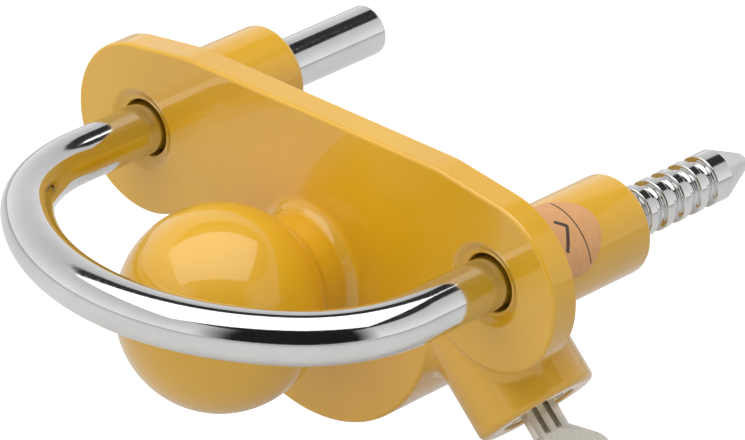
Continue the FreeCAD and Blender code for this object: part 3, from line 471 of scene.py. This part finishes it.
def makePlate():
    right = outlineHalf()
    loop = right + [(Vector((-p.x, p.y)), Vector((-n.x, n.y))) for p, n in reversed(right[1:-1])]
    front, ease, backEase = body["plateFront"], plateEdge["frontRound"], plateEdge["backRound"]
    section = [(ease * (1 - s), front + ease * (1 - c), s, -c) for c, s in quarter(6)]
    section += [(backEase * (1 - c), plateBack - backEase * (1 - s), c, s) for c, s in quarter(3)]
    verts, normals, faces = [], [], []

    def addLoop(points):
        start = len(verts)
        for p, n in points:
            verts.append(p)
            normals.append(n)
        return list(range(start, len(verts)))

    def band(rings):
        for low, high in zip(rings, rings[1:]):
            for j in range(len(low)):
                k = (j + 1) % len(low)
                faces.append((low[j], low[k], high[k], high[j]))

    edge = [addLoop([((p.x - n.x * inset, y, p.y - n.y * inset), (n.x * nOut, nY, n.y * nOut)) for p, n in loop])
            for inset, y, nOut, nY in section]
    band(edge)

    holes = []
    holeSection = []
    for k in range(dish["steps"] + 1):
        f = k / dish["steps"]
        r = dish["outer"] + (dish["inner"] - dish["outer"]) * f
        rise = f * f * (3 - 2 * f)
        tilt = 6 * f * (1 - f) * dish["depth"] / (dish["outer"] - dish["inner"])
        holeSection.append((r, front + dish["depth"] * rise, -tilt, -1))
    lip, lipStart, backRound = dish["lip"], front + dish["depth"], dish["backRound"]
    holeSection += [(dish["inner"] - lip * s, lipStart + lip * (1 - c), -s, -c) for c, s in quarter(5)[1:]]
    bore = dish["inner"] - lip
    holeSection += [(bore + backRound * (1 - c), plateBack - backRound * (1 - s), -c, s) for c, s in quarter(2)]
    for side in (1, -1):
        rings = []
        for r, y, nOut, nY in holeSection:
            points = []
            for j in range(dish["segments"]):
                a = 2 * math.pi * j / dish["segments"]
                c, s = math.cos(a), math.sin(a)
                points.append(((side * body["legX"] + c * r, y, body["legZ"] + s * r), (c * nOut, nY, s * nOut)))
            rings.append(addLoop(points))
        band(list(reversed(rings)))
        holes.append(rings)

    for outer, inner in ((edge[0], 0), (edge[-1], -1)):
        lines = [outer] + [rings[inner] for rings in holes]
        flat = [index for line in lines for index in line]
        polys = [[Vector((verts[i][0], verts[i][2], 0)) for i in line] for line in lines]
        faces += [tuple(flat[i] for i in tri) for tri in geometry.tessellate_polygon(polys)]
    bm = bmesh.new()
    made = [bm.verts.new(Vector(v) * mm) for v in verts]
    for face in faces:
        bm.faces.new([made[i] for i in face])
    bmesh.ops.recalc_face_normals(bm, faces=bm.faces)
    data = bpy.data.meshes.new("facePlate")
    bm.to_mesh(data)
    bm.free()
    data.shade_smooth()
    data.normals_split_custom_set_from_vertices([tuple(Vector(n).normalized()) for n in normals])
    data.materials.append(yellowPaint)
    return link(bpy.data.objects.new("facePlate", data))


facePlate = makePlate()
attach(facePlate, "lock_body")
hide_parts("face_plate")
print("face plate made")


# sleeves

sleeve = {
    "radius": 12.0, "bore": 6.9, "start": 0.02, "length": 34.4,
    "startRound": 0.1, "endRound": 1.5, "innerRound": 0.5,
}


def makeSleeves():
    radius, bore, start, length = (sleeve[key] for key in ("radius", "bore", "start", "length"))
    profile = roundedProfile([
        (bore, start, 0), (radius, start, sleeve["startRound"]), (radius, length, sleeve["endRound"]),
        (bore, length, sleeve["innerRound"]), (bore, start, 0)], 8)
    for side, name, node in ((-1, "leftSleeve", "left_sleeve"), (1, "rightSleeve", "right_sleeve")):
        tube = turned(name, profile, alongY(side * body["legX"], plateBack, body["legZ"]), yellowPaint)
        if side > 0:
            cutAway(tube, [boltBore()])
        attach(tube, "lock_body")
        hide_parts(node)


makeSleeves()
print("sleeves made")


# ball, neck and spindle

ballSizes = {
    "radius": 23.8, "underRound": 2.2, "neck": 14.0, "fillet": 3.2, "neckGap": 0.005,
    "seat": 0.02, "spindle": 8.5, "reach": 55.38, "capRound": 0.6, "steps": 72, "segments": 160,
}


def makeBall():
    r, neck, blendR = ballSizes["radius"], ballSizes["neck"], ballSizes["underRound"]
    front, steps = body["plateFront"], ballSizes["steps"]
    profile = []
    # the ball meets the neck through a small hollow
    gap = neck + blendR
    meet = math.sqrt((r + blendR) ** 2 - gap ** 2)
    touch = math.atan2(gap, meet)
    for k in range(steps + 1):
        a = math.pi - (math.pi - touch) * k / steps
        profile.append((r * math.sin(a), r * math.cos(a), math.sin(a), math.cos(a)))
    for k in range(1, 9):
        turn = touch + (math.pi / 2 - touch) * k / 8
        c, s = math.cos(turn), math.sin(turn)
        profile.append((gap - blendR * s, meet - blendR * c, s, c))
    f, seat = ballSizes["fillet"], front + ballSizes["seat"]
    profile += [(neck + f * (1 - c), front - f * (1 - s) - ballSizes["neckGap"], c, -s) for c, s in quarter(8)]
    spindle, reach, cap = ballSizes["spindle"], ballSizes["reach"], ballSizes["capRound"]
    profile += [(neck + f, seat, 1, 0), (spindle, seat, 1, 0)]
    profile += [(spindle - cap * (1 - c), reach - cap * (1 - s), c, s) for c, s in quarter(6)]
    profile.append((0, reach, 0, 1))
    return turned("couplerBall", profile, alongY(0, 0, 0), yellowPaint, ballSizes["segments"])


couplerBall = makeBall()
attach(couplerBall, "lock_body")
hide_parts("coupler_ball")
print("ball made")


# bar with its notched leg

bar = {
    "radius": 6.15, "straight": 19.9, "depth": 42.8, "corner": 35.75,
    "smoothEnd": 74.3, "smoothRound": 0.9,
    "pitch": 5.5, "firstNotch": 7.6, "lastNotch": 68.1, "notchHalf": 1.45, "notchDepth": 1.5, "slope": 0.55,
    "notchReach": 2.7, "shoulder": 74.65, "point": 10.4, "tipRadius": 1.6, "tipStretch": 1.2,
}
# distances between the points of the path, and how far the finer ones reach past the notches and the shoulder
barSteps = {
    "plain": 2.0, "lead": 1.6, "notches": 0.14, "end": 0.6, "shoulder": 0.1,
    "past": 3, "aroundShoulder": 0.5,
}


def barPath():
    leg, corner, depth = body["legX"], bar["corner"], bar["depth"]
    middle = (leg * leg - 2 * leg * corner + depth * depth) / (2 * (depth - corner))
    cornerX, start = leg - corner, -bar["straight"]
    middleY = start - depth + middle
    turn = math.atan2(start - middleY, cornerX)
    points = []

    def line(x, fromY, toY, step):
        count = max(1, int(abs(toY - fromY) / step))
        for k in range(count):
            points.append((x, fromY + (toY - fromY) * k / count))

    def arc(cx, cy, radius, a0, a1, count):
        for k in range(count):
            a = a0 + (a1 - a0) * k / count
            points.append((cx + radius * math.cos(a), cy + radius * math.sin(a)))

    # rounded end of the plain leg
    points += [(-leg, bar["smoothEnd"] - bar["smoothRound"] * (1 - c)) for c, s in quarter(8)]
    line(-leg, bar["smoothEnd"] - bar["smoothRound"] - 0.2, start, barSteps["plain"])
    arc(-cornerX, start, corner, math.pi, math.pi - turn, 48)
    arc(0, middleY, middle, -math.pi - turn + 2 * math.pi, 2 * math.pi + turn, 64)
    arc(cornerX, start, corner, turn, 0, 48)
    firstFine, lastFine = bar["firstNotch"] - barSteps["past"], bar["lastNotch"] + barSteps["past"]
    beforeShoulder = bar["shoulder"] - barSteps["aroundShoulder"]
    afterShoulder = bar["shoulder"] + barSteps["aroundShoulder"]
    tip = bar["shoulder"] + bar["point"]
    tipStart = tip - bar["tipRadius"] * bar["tipStretch"]
    line(leg, start, firstFine, barSteps["lead"])
    line(leg, firstFine, lastFine, barSteps["notches"])
    line(leg, lastFine, beforeShoulder, barSteps["end"])
    line(leg, beforeShoulder, afterShoulder, barSteps["shoulder"])
    line(leg, afterShoulder, tipStart, barSteps["end"])
    points += [(leg, tipStart + (tip - tipStart) * s) for c, s in quarter(10)]
    return points


def nodeTree(name, inputs):
    tree = bpy.data.node_groups.new(name, "GeometryNodeTree")
    tree.interface.new_socket("Geometry", in_out="INPUT", socket_type="NodeSocketGeometry")
    for label, value in inputs.items():
        kind = "NodeSocketMaterial" if isinstance(value, bpy.types.Material) else "NodeSocketFloat"
        tree.interface.new_socket(label, in_out="INPUT", socket_type=kind)
    tree.interface.new_socket("Geometry", in_out="OUTPUT", socket_type="NodeSocketGeometry")
    start = tree.nodes.new("NodeGroupInput")
    end = tree.nodes.new("NodeGroupOutput")
    return tree, start, end


def applyTree(thing, tree, inputs):
    modifier = thing.modifiers.new("shape", "NODES")
    modifier.node_group = tree
    for item in tree.interface.items_tree:
        if item.in_out == "INPUT" and item.name in inputs:
            modifier[item.identifier] = inputs[item.name]
    bpy.context.view_layer.update()
    graph = bpy.context.evaluated_depsgraph_get()
    data = bpy.data.meshes.new_from_object(thing.evaluated_get(graph))
    name = thing.name
    bpy.data.objects.remove(thing)
    return link(bpy.data.objects.new(name, data))


# the tree turns a path into a bar and cuts the notches by narrowing it
def barTree(inputs):
    tree, start, end = nodeTree("notchedBar", inputs)
    join = tree.links.new

    def maths(operation, first, second=None, clamp=False):
        return mathNode(tree, operation, first, second, clamp)

    size = start.outputs
    spot = tree.nodes.new("GeometryNodeInputPosition")
    split = tree.nodes.new("ShaderNodeSeparateXYZ")
    join(spot.outputs[0], split.inputs[0])
    x, y = split.outputs["X"], split.outputs["Y"]
    steps = maths("DIVIDE", maths("SUBTRACT", y, size["First notch"]), size["Pitch"])
    near = maths("ABSOLUTE", maths("SUBTRACT", steps, maths("ROUND", steps)))
    away = maths("MULTIPLY", near, size["Pitch"])
    edge = maths("ADD", size["Half width"], size["Slope"])
    wall = maths("DIVIDE", maths("SUBTRACT", edge, away), size["Slope"], clamp=True)
    eased = maths("MULTIPLY", maths("MULTIPLY", wall, wall), maths("SUBTRACT", 3, maths("MULTIPLY", wall, 2)))
    reach = bar["notchReach"] * mm
    inside = maths("MULTIPLY", maths("LESS_THAN", y, maths("ADD", size["Last notch"], reach)),
                   maths("GREATER_THAN", y, maths("SUBTRACT", size["First notch"], reach)))
    inside = maths("MULTIPLY", inside, maths("GREATER_THAN", x, 0))
    cut = maths("MULTIPLY", maths("MULTIPLY", eased, inside), size["Depth"])
    # point of the notched leg
    past = maths("MULTIPLY", maths("DIVIDE", maths("SUBTRACT", y, size["Shoulder"]), size["Point"], clamp=True),
                 maths("GREATER_THAN", x, 0))
    cone = maths("MULTIPLY", past, maths("SUBTRACT", size["Radius"], size["Tip radius"]))
    fromTip = maths("SUBTRACT", maths("ADD", size["Shoulder"], size["Point"]), y)
    tipLength = maths("MULTIPLY", size["Tip radius"], bar["tipStretch"])
    tipPart = maths("SUBTRACT", 1, maths("DIVIDE", fromTip, tipLength), clamp=True)
    tipPart = maths("MULTIPLY", tipPart, maths("GREATER_THAN", x, 0))
    tipRound = maths("SQRT", maths("MAXIMUM", maths("SUBTRACT", 1.0, maths("MULTIPLY", tipPart, tipPart)), 0.0001))
    # rounded end of the plain leg
    fromEnd = maths("SUBTRACT", size["Plain end"], y)
    endPart = maths("SUBTRACT", 1, maths("DIVIDE", fromEnd, size["End round"]), clamp=True)
    endPart = maths("MULTIPLY", endPart, maths("LESS_THAN", x, 0))
    endSquare = maths("MAXIMUM", maths("SUBTRACT", 1.0, maths("MULTIPLY", endPart, endPart)), 0)
    endIn = maths("SUBTRACT", 1.0, maths("SQRT", endSquare))
    radius = maths("SUBTRACT", maths("SUBTRACT", size["Radius"], cut), cone)
    radius = maths("SUBTRACT", radius, maths("MULTIPLY", endIn, size["End round"]))
    radius = maths("MULTIPLY", radius, tipRound)
    curve = tree.nodes.new("GeometryNodeMeshToCurve")
    setRadius = tree.nodes.new("GeometryNodeSetCurveRadius")
    circle = tree.nodes.new("GeometryNodeCurvePrimitiveCircle")
    circle.inputs["Resolution"].default_value = 72
    circle.inputs["Radius"].default_value = 1.0
    sweep = tree.nodes.new("GeometryNodeCurveToMesh")
    sweep.inputs["Fill Caps"].default_value = True
    smooth = tree.nodes.new("GeometryNodeSetShadeSmooth")
    finish = tree.nodes.new("GeometryNodeSetMaterial")
    real = tree.nodes.new("GeometryNodeRealizeInstances")
    join(start.outputs["Geometry"], curve.inputs["Mesh"])
    join(curve.outputs["Curve"], setRadius.inputs["Curve"])
    join(radius, setRadius.inputs["Radius"])
    join(setRadius.outputs["Curve"], sweep.inputs["Curve"])
    join(circle.outputs["Curve"], sweep.inputs["Profile Curve"])
    join(radius, sweep.inputs["Scale"])
    join(sweep.outputs["Mesh"], smooth.inputs["Geometry"])
    join(smooth.outputs["Geometry"], real.inputs["Geometry"])
    join(real.outputs["Geometry"], finish.inputs["Geometry"])
    join(size["Material"], finish.inputs["Material"])
    join(finish.outputs["Geometry"], end.inputs["Geometry"])
    return tree


def makeBar():
    front, height = body["plateFront"], body["legZ"]
    points = [(x * mm, (y + front) * mm, height * mm) for x, y in barPath()]
    data = bpy.data.meshes.new("barPath")
    data.from_pydata(points, [(i, i + 1) for i in range(len(points) - 1)], [])
    path = link(bpy.data.objects.new("notchedBar", data))
    inputs = {
        "Radius": bar["radius"] * mm, "Pitch": bar["pitch"] * mm,
        "First notch": (bar["firstNotch"] + front) * mm, "Last notch": (bar["lastNotch"] + front) * mm,
        "Half width": (bar["notchHalf"] - bar["slope"] / 2) * mm, "Slope": bar["slope"] * mm,
        "Depth": bar["notchDepth"] * mm, "Shoulder": (bar["shoulder"] + front) * mm,
        "Point": bar["point"] * mm, "Tip radius": bar["tipRadius"] * mm,
        "Plain end": (bar["smoothEnd"] + front) * mm, "End round": bar["smoothRound"] * mm, "Material": barChrome,
    }
    return applyTree(path, barTree(inputs), inputs)


notchedBar = makeBar()
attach(notchedBar, "shackle")
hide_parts("shackle")
print("bar made", len(notchedBar.data.polygons))


# lock housing

housing = {
    "radius": body["barrelRadius"], "back": -11.5, "backRound": 1.2, "face": 27.6, "round": 1.7,
    "bore": 9.08, "boreRound": 0.6, "shellBack": 7.1, "chamber": 5.5,
    "pinRadius": 1.25, "pinFrom": 7.6, "pinHeight": 8.6,
}


def makeHousing():
    outer, bore, face = housing["radius"], housing["bore"], housing["face"]
    profile = roundedProfile([
        (0, housing["back"], 0), (outer, housing["back"], housing["backRound"]), (outer, face, housing["round"]),
        (bore, face, housing["boreRound"]), (bore, housing["shellBack"], 0),
        (housing["chamber"], housing["shellBack"], 0), (housing["chamber"], 0, 0), (0, 0, 0)], 8)
    barrel = turned("lockBarrel", profile, lockFrame, yellowPaint)
    rear = (lockOrigin + lockAxis * housing["pinHeight"], Vector((0, 1, 0)), lockAxis)
    return cutAway(barrel, [boltBore(), rod(rear, housing["pinRadius"], housing["pinFrom"], outer + 2)])


lockBarrel = makeHousing()
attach(lockBarrel, "lock_body")
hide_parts("lock_housing")
print("lock housing made")


# blend that runs the barrel into the plate

blend = {
    "radius": 3.2, "sink": 0.35, "deepest": 1.5, "steps": 10, "from": -128, "to": 112, "every": 1.5,
    "reachEnd": -9.0, "reachStep": 0.25, "touching": 1e-3, "halvings": 22, "probe": 0.02,
    "flatTurn": 0.9998, "smoothTurn": 0.94,
}
# how far the neighbours' edges are eased, and how far they run into the plate
neighbour = {"ease": 0.5, "sink": 3}


def outlineDistance(x, z):
    right = outlineHalf()
    loop = [p for p, n in right] + [Vector((-p.x, p.y)) for p, n in reversed(right[1:-1])]
    a = np.array([(p.x, p.y) for p in loop])
    b = np.roll(a, -1, axis=0)
    spots = np.stack([x, z], -1)[:, None, :]
    run = b - a
    share = np.clip(((spots - a) * run).sum(-1) / np.maximum((run * run).sum(-1), 1e-12), 0, 1)
    gap = np.linalg.norm(spots - (a + share[..., None] * run), axis=-1).min(-1)
    crosses = ((a[:, 1] > spots[..., 1]) != (b[:, 1] > spots[..., 1]))
    with np.errstate(divide="ignore", invalid="ignore"):
        at = a[:, 0] + (spots[..., 1] - a[:, 1]) * run[:, 0] / run[:, 1]
    inside = (crosses & (spots[..., 0] < at)).sum(-1) % 2 == 1
    return np.where(inside, -gap, gap)


def slabDistance(flat, y, low, high, ease):
    a = flat + ease
    b = np.abs(y - (low + high) / 2) - (high - low) / 2 + ease
    return np.minimum(np.maximum(a, b), 0) + np.hypot(np.maximum(a, 0), np.maximum(b, 0)) - ease


def neighbourDistance(p):
    x, y, z = p[:, 0], p[:, 1], p[:, 2]
    front = body["plateFront"]
    start, ease = plateBack - neighbour["sink"], neighbour["ease"]
    plate = slabDistance(outlineDistance(x, z), y, front, plateBack, plateEdge["frontRound"])
    hub = np.maximum(np.hypot(x, z) - body["hubRadius"], z - body["hubTop"])
    box = slabDistance(hub, y, start, body["hubBack"], ease)
    leg = np.hypot(x - body["legX"], z - body["legZ"])
    tube = slabDistance(leg - sleeve["radius"], y, start, plateBack + sleeve["length"], ease)
    return np.minimum(np.minimum(plate, box), tube)


# a ball is rolled along the barrel at each angle until it touches a neighbour
def rollBall():
    k, r = blend["radius"], housing["radius"]
    origin, axis, side = (np.array(v) for v in lockFrame)
    third = np.array((0.0, 1.0, 0.0))
    angles = np.radians(np.arange(blend["from"], blend["to"] + 0.1, blend["every"]))
    outward = -third * np.cos(angles)[:, None] + side * np.sin(angles)[:, None]
    reach = np.arange(housing["face"] - housing["round"], blend["reachEnd"], -blend["reachStep"])
    centres = origin + outward[:, None, :] * (r + k) + axis * reach[None, :, None]
    gaps = neighbourDistance(centres.reshape(-1, 3)).reshape(len(angles), len(reach)) - k
    rows = []
    for i, line in enumerate(gaps):
        hits = np.nonzero(line <= blend["touching"])[0]
        if not len(hits) or hits[0] == 0:
            continue
        start = origin + outward[i] * (r + k)
        far, near = reach[hits[0] - 1], reach[hits[0]]
        for _ in range(blend["halvings"]):
            middle = (far + near) / 2
            if neighbourDistance((start + axis * middle)[None])[0] - k <= blend["touching"]:
                near = middle
            else:
                far = middle
        centre = start + axis * near
        probes = np.array([centre + d * blend["probe"] * s for d in np.eye(3) for s in (1, -1)])
        d = neighbourDistance(probes)
        slope = d[0::2] - d[1::2]
        rows.append((i, centre, outward[i], slope / np.linalg.norm(slope)))
    return rows


def makeBlend():
    k = blend["radius"]
    verts, normals, faces, rings = [], [], [], []

    def between(first, second, share):
        turn = math.acos(max(-1, min(1, float(first @ second))))
        if turn < 1e-4:
            return first
        return (math.sin((1 - share) * turn) * first + math.sin(share * turn) * second) / math.sin(turn)

    def addRing(centre, fromBarrel, fromPlate):
        ring = list(range(len(verts), len(verts) + blend["steps"] + 4))
        for j in range(blend["steps"] + 1):
            way = between(fromBarrel, fromPlate, j / blend["steps"])
            verts.append(centre - way * k)
            normals.append(way)
        middle = between(fromBarrel, fromPlate, 0.5)
        corner = min(1 / float(middle @ fromPlate), blend["deepest"])
        for way, deep in ((fromPlate, 1), (middle, corner), (fromBarrel, 1)):
            verts.append(centre - way * (k + blend["sink"]) * deep)
            normals.append(None)
        if rings and rings[-1] is not None:
            for j, low in enumerate(ring):
                m = (j + 1) % len(ring)
                faces.append((rings[-1][j], rings[-1][m], ring[m], low))
        else:
            faces.append(tuple(ring))
        rings.append(ring)

    def closeStrip():
        if rings and rings[-1] is not None:
            faces.append(tuple(reversed(rings[-1])))
            rings.append(None)

    before = None
    for row in rollBall():
        i, centre, fromBarrel, fromPlate = row
        flat = fromBarrel @ fromPlate > blend["flatTurn"]
        if flat or (before and i - before[0] > 1):
            closeStrip()
            before = None
        if flat:
            continue
        # where the plate gives way to the sleeve, a patch of a ball fills the corner
        jumps = before is not None and before[3] @ fromPlate < blend["smoothTurn"]
        for n in range(1, blend["steps"] if jumps else 1):
            share = n / blend["steps"]
            addRing(before[1] + (centre - before[1]) * share, between(before[2], fromBarrel, share),
                    between(before[3], fromPlate, share))
        addRing(centre, fromBarrel, fromPlate)
        before = row
    closeStrip()
    return meshObject("barrelBlend", verts, faces, normals, yellowPaint)


barrelBlend = makeBlend()
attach(barrelBlend, "lock_body")
print("blend made", len(barrelBlend.data.polygons))


# lock face and key, from their frame shapes with the sharp edges broken

softened = {
    "key": ("cutKey", 0.22, keyNickel, "key_nickel"),
    "cylinder_shell": ("lockShell", 0.22, lockChrome, "lock_chrome"),
    "lock_plug": ("lockPlug", 0.12, brass, "lock_brass"),
}


def soften(node, name, width, material):
    data = nodes[node].data.copy()
    data.transform(nodes[node].matrix_world)
    bm = bmesh.new()
    bm.from_mesh(data)
    bmesh.ops.remove_doubles(bm, verts=bm.verts, dist=2e-6)
    bmesh.ops.dissolve_limit(bm, angle_limit=math.radians(0.8), verts=bm.verts, edges=bm.edges)
    bm.to_mesh(data)
    bm.free()
    given = data.attributes.get("custom_normal")
    if given:
        data.attributes.remove(given)
    data.materials.clear()
    data.materials.append(material)
    thing = link(bpy.data.objects.new(name, data))
    modifier = thing.modifiers.new("edge", "BEVEL")
    modifier.width = width * mm
    modifier.segments = 3
    modifier.limit_method = "ANGLE"
    modifier.angle_limit = math.radians(50)
    return applyModifiers(thing, 30)


bodies = {"key": "key", "cylinder_shell": "lock_body", "lock_plug": "plug"}
for node, (name, width, material, slotName) in softened.items():
    piece = soften(node, name, width, material)
    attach(piece, bodies[node])
    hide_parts(node)
print("lock face and key made")


# round label on the right sleeve, with a thin line and a tick in place of words

label = {
    "radius": 9.28, "under": 12.03, "over": 12.12, "ink": 12.135, "distance": 10.8, "turn": 50.0,
    "inkSink": 0.03, "rings": 12, "segments": 72, "lineAt": 3.4, "lineHalf": 0.17, "lineInset": 0.5,
    "tick": ((3.4, -1.2), (1.2, 1.0), (-4.2, -2.6)), "tickHalf": 0.45, "inkStep": 0.5,
}


def onLabel(u, w, radius):
    turn = math.radians(label["turn"]) + math.asin(u / radius)
    out = Vector((math.cos(turn), 0, math.sin(turn)))
    return Vector((body["legX"], plateBack + label["distance"] + w, body["legZ"])) + out * radius, out


def makeLabel():
    verts, normals, faces, rings = [], [], [], []
    segments = label["segments"]
    shares = [f / label["rings"] for f in range(1, label["rings"] + 1)]
    layers = [(share, label["over"], 1) for share in shares]
    layers += [(share, label["under"], -1) for share in shares[::-1]]
    for share, radius, way in layers:
        ring = []
        for j in range(segments):
            a, reach = 2 * math.pi * j / segments, label["radius"] * share
            spot, out = onLabel(reach * math.cos(a), reach * math.sin(a), radius)
            ring.append(len(verts))
            verts.append(spot)
            normals.append(out * way)
        rings.append(ring)
    for low, high in zip(rings, rings[1:]):
        for j in range(segments):
            k = (j + 1) % segments
            faces.append((low[j], low[k], high[k], high[j]))
    for ring, radius, way in ((rings[0], label["over"], 1), (rings[-1], label["under"], -1)):
        middle, out = onLabel(0, 0, radius)
        verts.append(middle)
        normals.append(out * way)
        for j in range(segments):
            pair = (ring[j], ring[(j + 1) % segments])
            faces.append((len(verts) - 1, *(pair[::-1] if way > 0 else pair)))
    return meshObject("inspectionLabel", verts, faces, normals, labelFilm)


def makeInk():
    verts, faces = [], []
    reach = math.sqrt(label["radius"] ** 2 - label["lineAt"] ** 2) - label["lineInset"]
    top, under = label["ink"], label["over"] - label["inkSink"]
    lines = [([(reach, label["lineAt"]), (-reach, label["lineAt"])], label["lineHalf"]),
             (label["tick"], label["tickHalf"])]
    for points, halfWidth in lines:
        path = []
        for (u0, w0), (u1, w1) in zip(points, points[1:]):
            count = max(2, int(math.hypot(u1 - u0, w1 - w0) / label["inkStep"]))
            path += [(u0 + (u1 - u0) * k / count, w0 + (w1 - w0) * k / count) for k in range(count)]
        path.append(points[-1])
        first = len(verts)
        for i, (u, w) in enumerate(path):
            ahead, behind = path[min(i + 1, len(path) - 1)], path[max(i - 1, 0)]
            way = Vector((ahead[0] - behind[0], ahead[1] - behind[1])).normalized()
            for side, radius in ((1, top), (-1, top), (-1, under), (1, under)):
                off = halfWidth * side
                verts.append(onLabel(u - way.y * off, w + way.x * off, radius)[0])
        for i in range(len(path) - 1):
            low = first + 4 * i
            for j in range(4):
                k = (j + 1) % 4
                faces.append((low + j, low + k, low + 4 + k, low + 4 + j))
        last = len(verts) - 4
        faces += [(first + 3, first + 2, first + 1, first), (last, last + 1, last + 2, last + 3)]
    ink = meshObject("labelMarks", verts, faces, None, labelInk)
    ink.data.set_sharp_from_angle(angle=math.radians(35))
    return ink


inspectionLabel = makeLabel()
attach(inspectionLabel, "lock_body")
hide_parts("inspection_label")
labelMarks = makeInk()
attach(labelMarks, "lock_body")
print("label made")


# finishes of the pieces that keep their frame shape

finishes = {
    "hub_wall": yellowPaint, "hub_back_plate": yellowPaint, "sleeve_welds": yellowPaint,
    "bolt_bore_stopper": yellowPaint, "shell_seal": sealRubber,
    "shell_retaining_pin": springSteel, "wafer_tumblers": brass, "wafer_springs": springSteel,
    "plug_clip": springSteel, "drive_cam": hardSteel, "locking_bolt": hardSteel,
}
for node, material in finishes.items():
    slots = nodes[node].data.materials
    slots.clear()
    slots.append(material)
print("frame pieces finished")


# floor, light and camera

studio = {
    "floorDrop": 0.027, "floorReach": 6.0, "floorSeen": 0.70, "floorMirrored": 0.08,
    "wall": 0.95, "wallHigh": 0.62, "wallTop": 0.69, "wallEdge": 0.012, "ceiling": 0.03,
    "front": 0.012, "frontSide": (half, -half, 0), "frontEdge": (0.72, 0.86), "fill": 0.40, "fillAhead": 1.0,
}


def makeFloor():
    # low enough for the key to be drawn out above it
    low = min(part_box(node)[0].z for node in nodes) - studio["floorDrop"]
    reach = studio["floorReach"]
    corners = [(x * reach, y * reach, low) for x, y in ((-1, -1), (1, -1), (1, 1), (-1, 1))]
    data = bpy.data.meshes.new("floor")
    data.from_pydata(corners, [], [(0, 1, 2, 3)])
    floor = link(bpy.data.objects.new("floor", data))
    material, tree, shader, where = newMaterial("paleFloor")
    tint = noise(tree, where, 3, 3)
    tree.links.new(blendColour(tree, tint, (0.60, 0.60, 0.60), (0.64, 0.64, 0.64)), shader.inputs["Base Color"])
    shader.inputs["Roughness"].default_value = 0.9
    shader.inputs["Specular IOR Level"].default_value = 0.1
    shader.inputs["Emission Color"].default_value = (1, 1, 1, 1)
    # the floor stays white to the eye and in polished pieces without lighting the part from below
    ray = tree.nodes.new("ShaderNodeLightPath")
    mirrored = remap(tree, ray.outputs["Is Glossy Ray"], 0, 1, 0.0, studio["floorMirrored"])
    seen = remap(tree, ray.outputs["Is Camera Ray"], 0, 1, 0.0, studio["floorSeen"])
    tree.links.new(mathNode(tree, "MAXIMUM", mirrored, seen), shader.inputs["Emission Strength"])
    data.materials.append(material)


# polished pieces mirror a white wall under a dark ceiling, dark on the side people stand;
# everything else gets the same soft light from all round
def makeWorld():
    world = bpy.data.worlds.new("studio")
    bpy.context.scene.world = world
    world.use_nodes = True
    tree = world.node_tree
    join = tree.links.new
    way = tree.nodes.new("ShaderNodeTexCoord").outputs["Generated"]

    def vectorMath(operation, first, second=None):
        node = tree.nodes.new("ShaderNodeVectorMath")
        node.operation = operation
        join(first, node.inputs[0])
        if second is not None:
            node.inputs[1].default_value = second
        return node.outputs["Vector"]

    height = dotNode(tree, way, (0, 0, 1))
    flat = vectorMath("NORMALIZE", vectorMath("MULTIPLY", way, (1, 1, 0)))
    facing = remap(tree, dotNode(tree, flat, studio["frontSide"]), *studio["frontEdge"], 0, 1)
    above = remap(tree, height, -0.01, 0.02, 0, 1)
    front = mathNode(tree, "MULTIPLY", facing, above)
    top, edge = studio["wallTop"], studio["wallEdge"]
    ceiling = remap(tree, height, top - edge, top + edge, 0, 1)
    upward = remap(tree, height, 0.05, top, 0, 1)
    mirrored = blendColour(tree, upward, (studio["wall"],) * 3, (studio["wallHigh"],) * 3)
    mirrored = blendColour(tree, ceiling, mirrored, (studio["ceiling"],) * 3)
    mirrored = blendColour(tree, front, mirrored, (studio["front"],) * 3)
    ray = tree.nodes.new("ShaderNodeLightPath")
    ahead = remap(tree, dotNode(tree, way, (0, -1, 0)), 0.1, 0.9, 0, 1)
    fill = blendColour(tree, ahead, (studio["fill"],) * 3, (studio["fillAhead"],) * 3)
    colour = blendColour(tree, ray.outputs["Is Glossy Ray"], fill, mirrored)
    join(colour, tree.nodes["Background"].inputs["Color"])


overhead = {"place": (-0.11, -0.173, 1.1), "size": (1.84, 1.25), "turn": 45, "power": 13.2}


def makeLight():
    data = bpy.data.lights.new("overhead", "AREA")
    data.shape = "RECTANGLE"
    data.size, data.size_y = overhead["size"]
    data.energy = overhead["power"]
    light = link(bpy.data.objects.new("overhead", data))
    light.location = overhead["place"]
    light.rotation_euler = (0, 0, math.radians(overhead["turn"]))


view = {"azimuth": 45.007, "elevation": 27.251, "roll": -0.363, "distance": 1571.3,
        "target": (19.56, 28.78, 18.49), "lens": 339.91}


def makeCamera():
    a, e, roll = (math.radians(view[key]) for key in ("azimuth", "elevation", "roll"))
    back = Vector((math.sin(a) * math.cos(e), -math.cos(a) * math.cos(e), math.sin(e)))
    right = Vector((math.cos(a), math.sin(a), 0))
    up = back.cross(right)
    right, up = (right * math.cos(roll) + up * math.sin(roll), up * math.cos(roll) - right * math.sin(roll))
    data = bpy.data.cameras.new("camera")
    data.lens = view["lens"]
    data.sensor_width = 36
    data.clip_end = 50
    camera = link(bpy.data.objects.new("camera", data))
    place = (Vector(view["target"]) + back * view["distance"]) * mm
    camera.matrix_world = Matrix.Translation(place) @ Matrix((right, up, back)).transposed().to_4x4()
    bpy.context.scene.camera = camera


makeFloor()
makeWorld()
makeLight()
makeCamera()
bpy.context.scene.view_settings.view_transform = "Standard"
print("stage set")
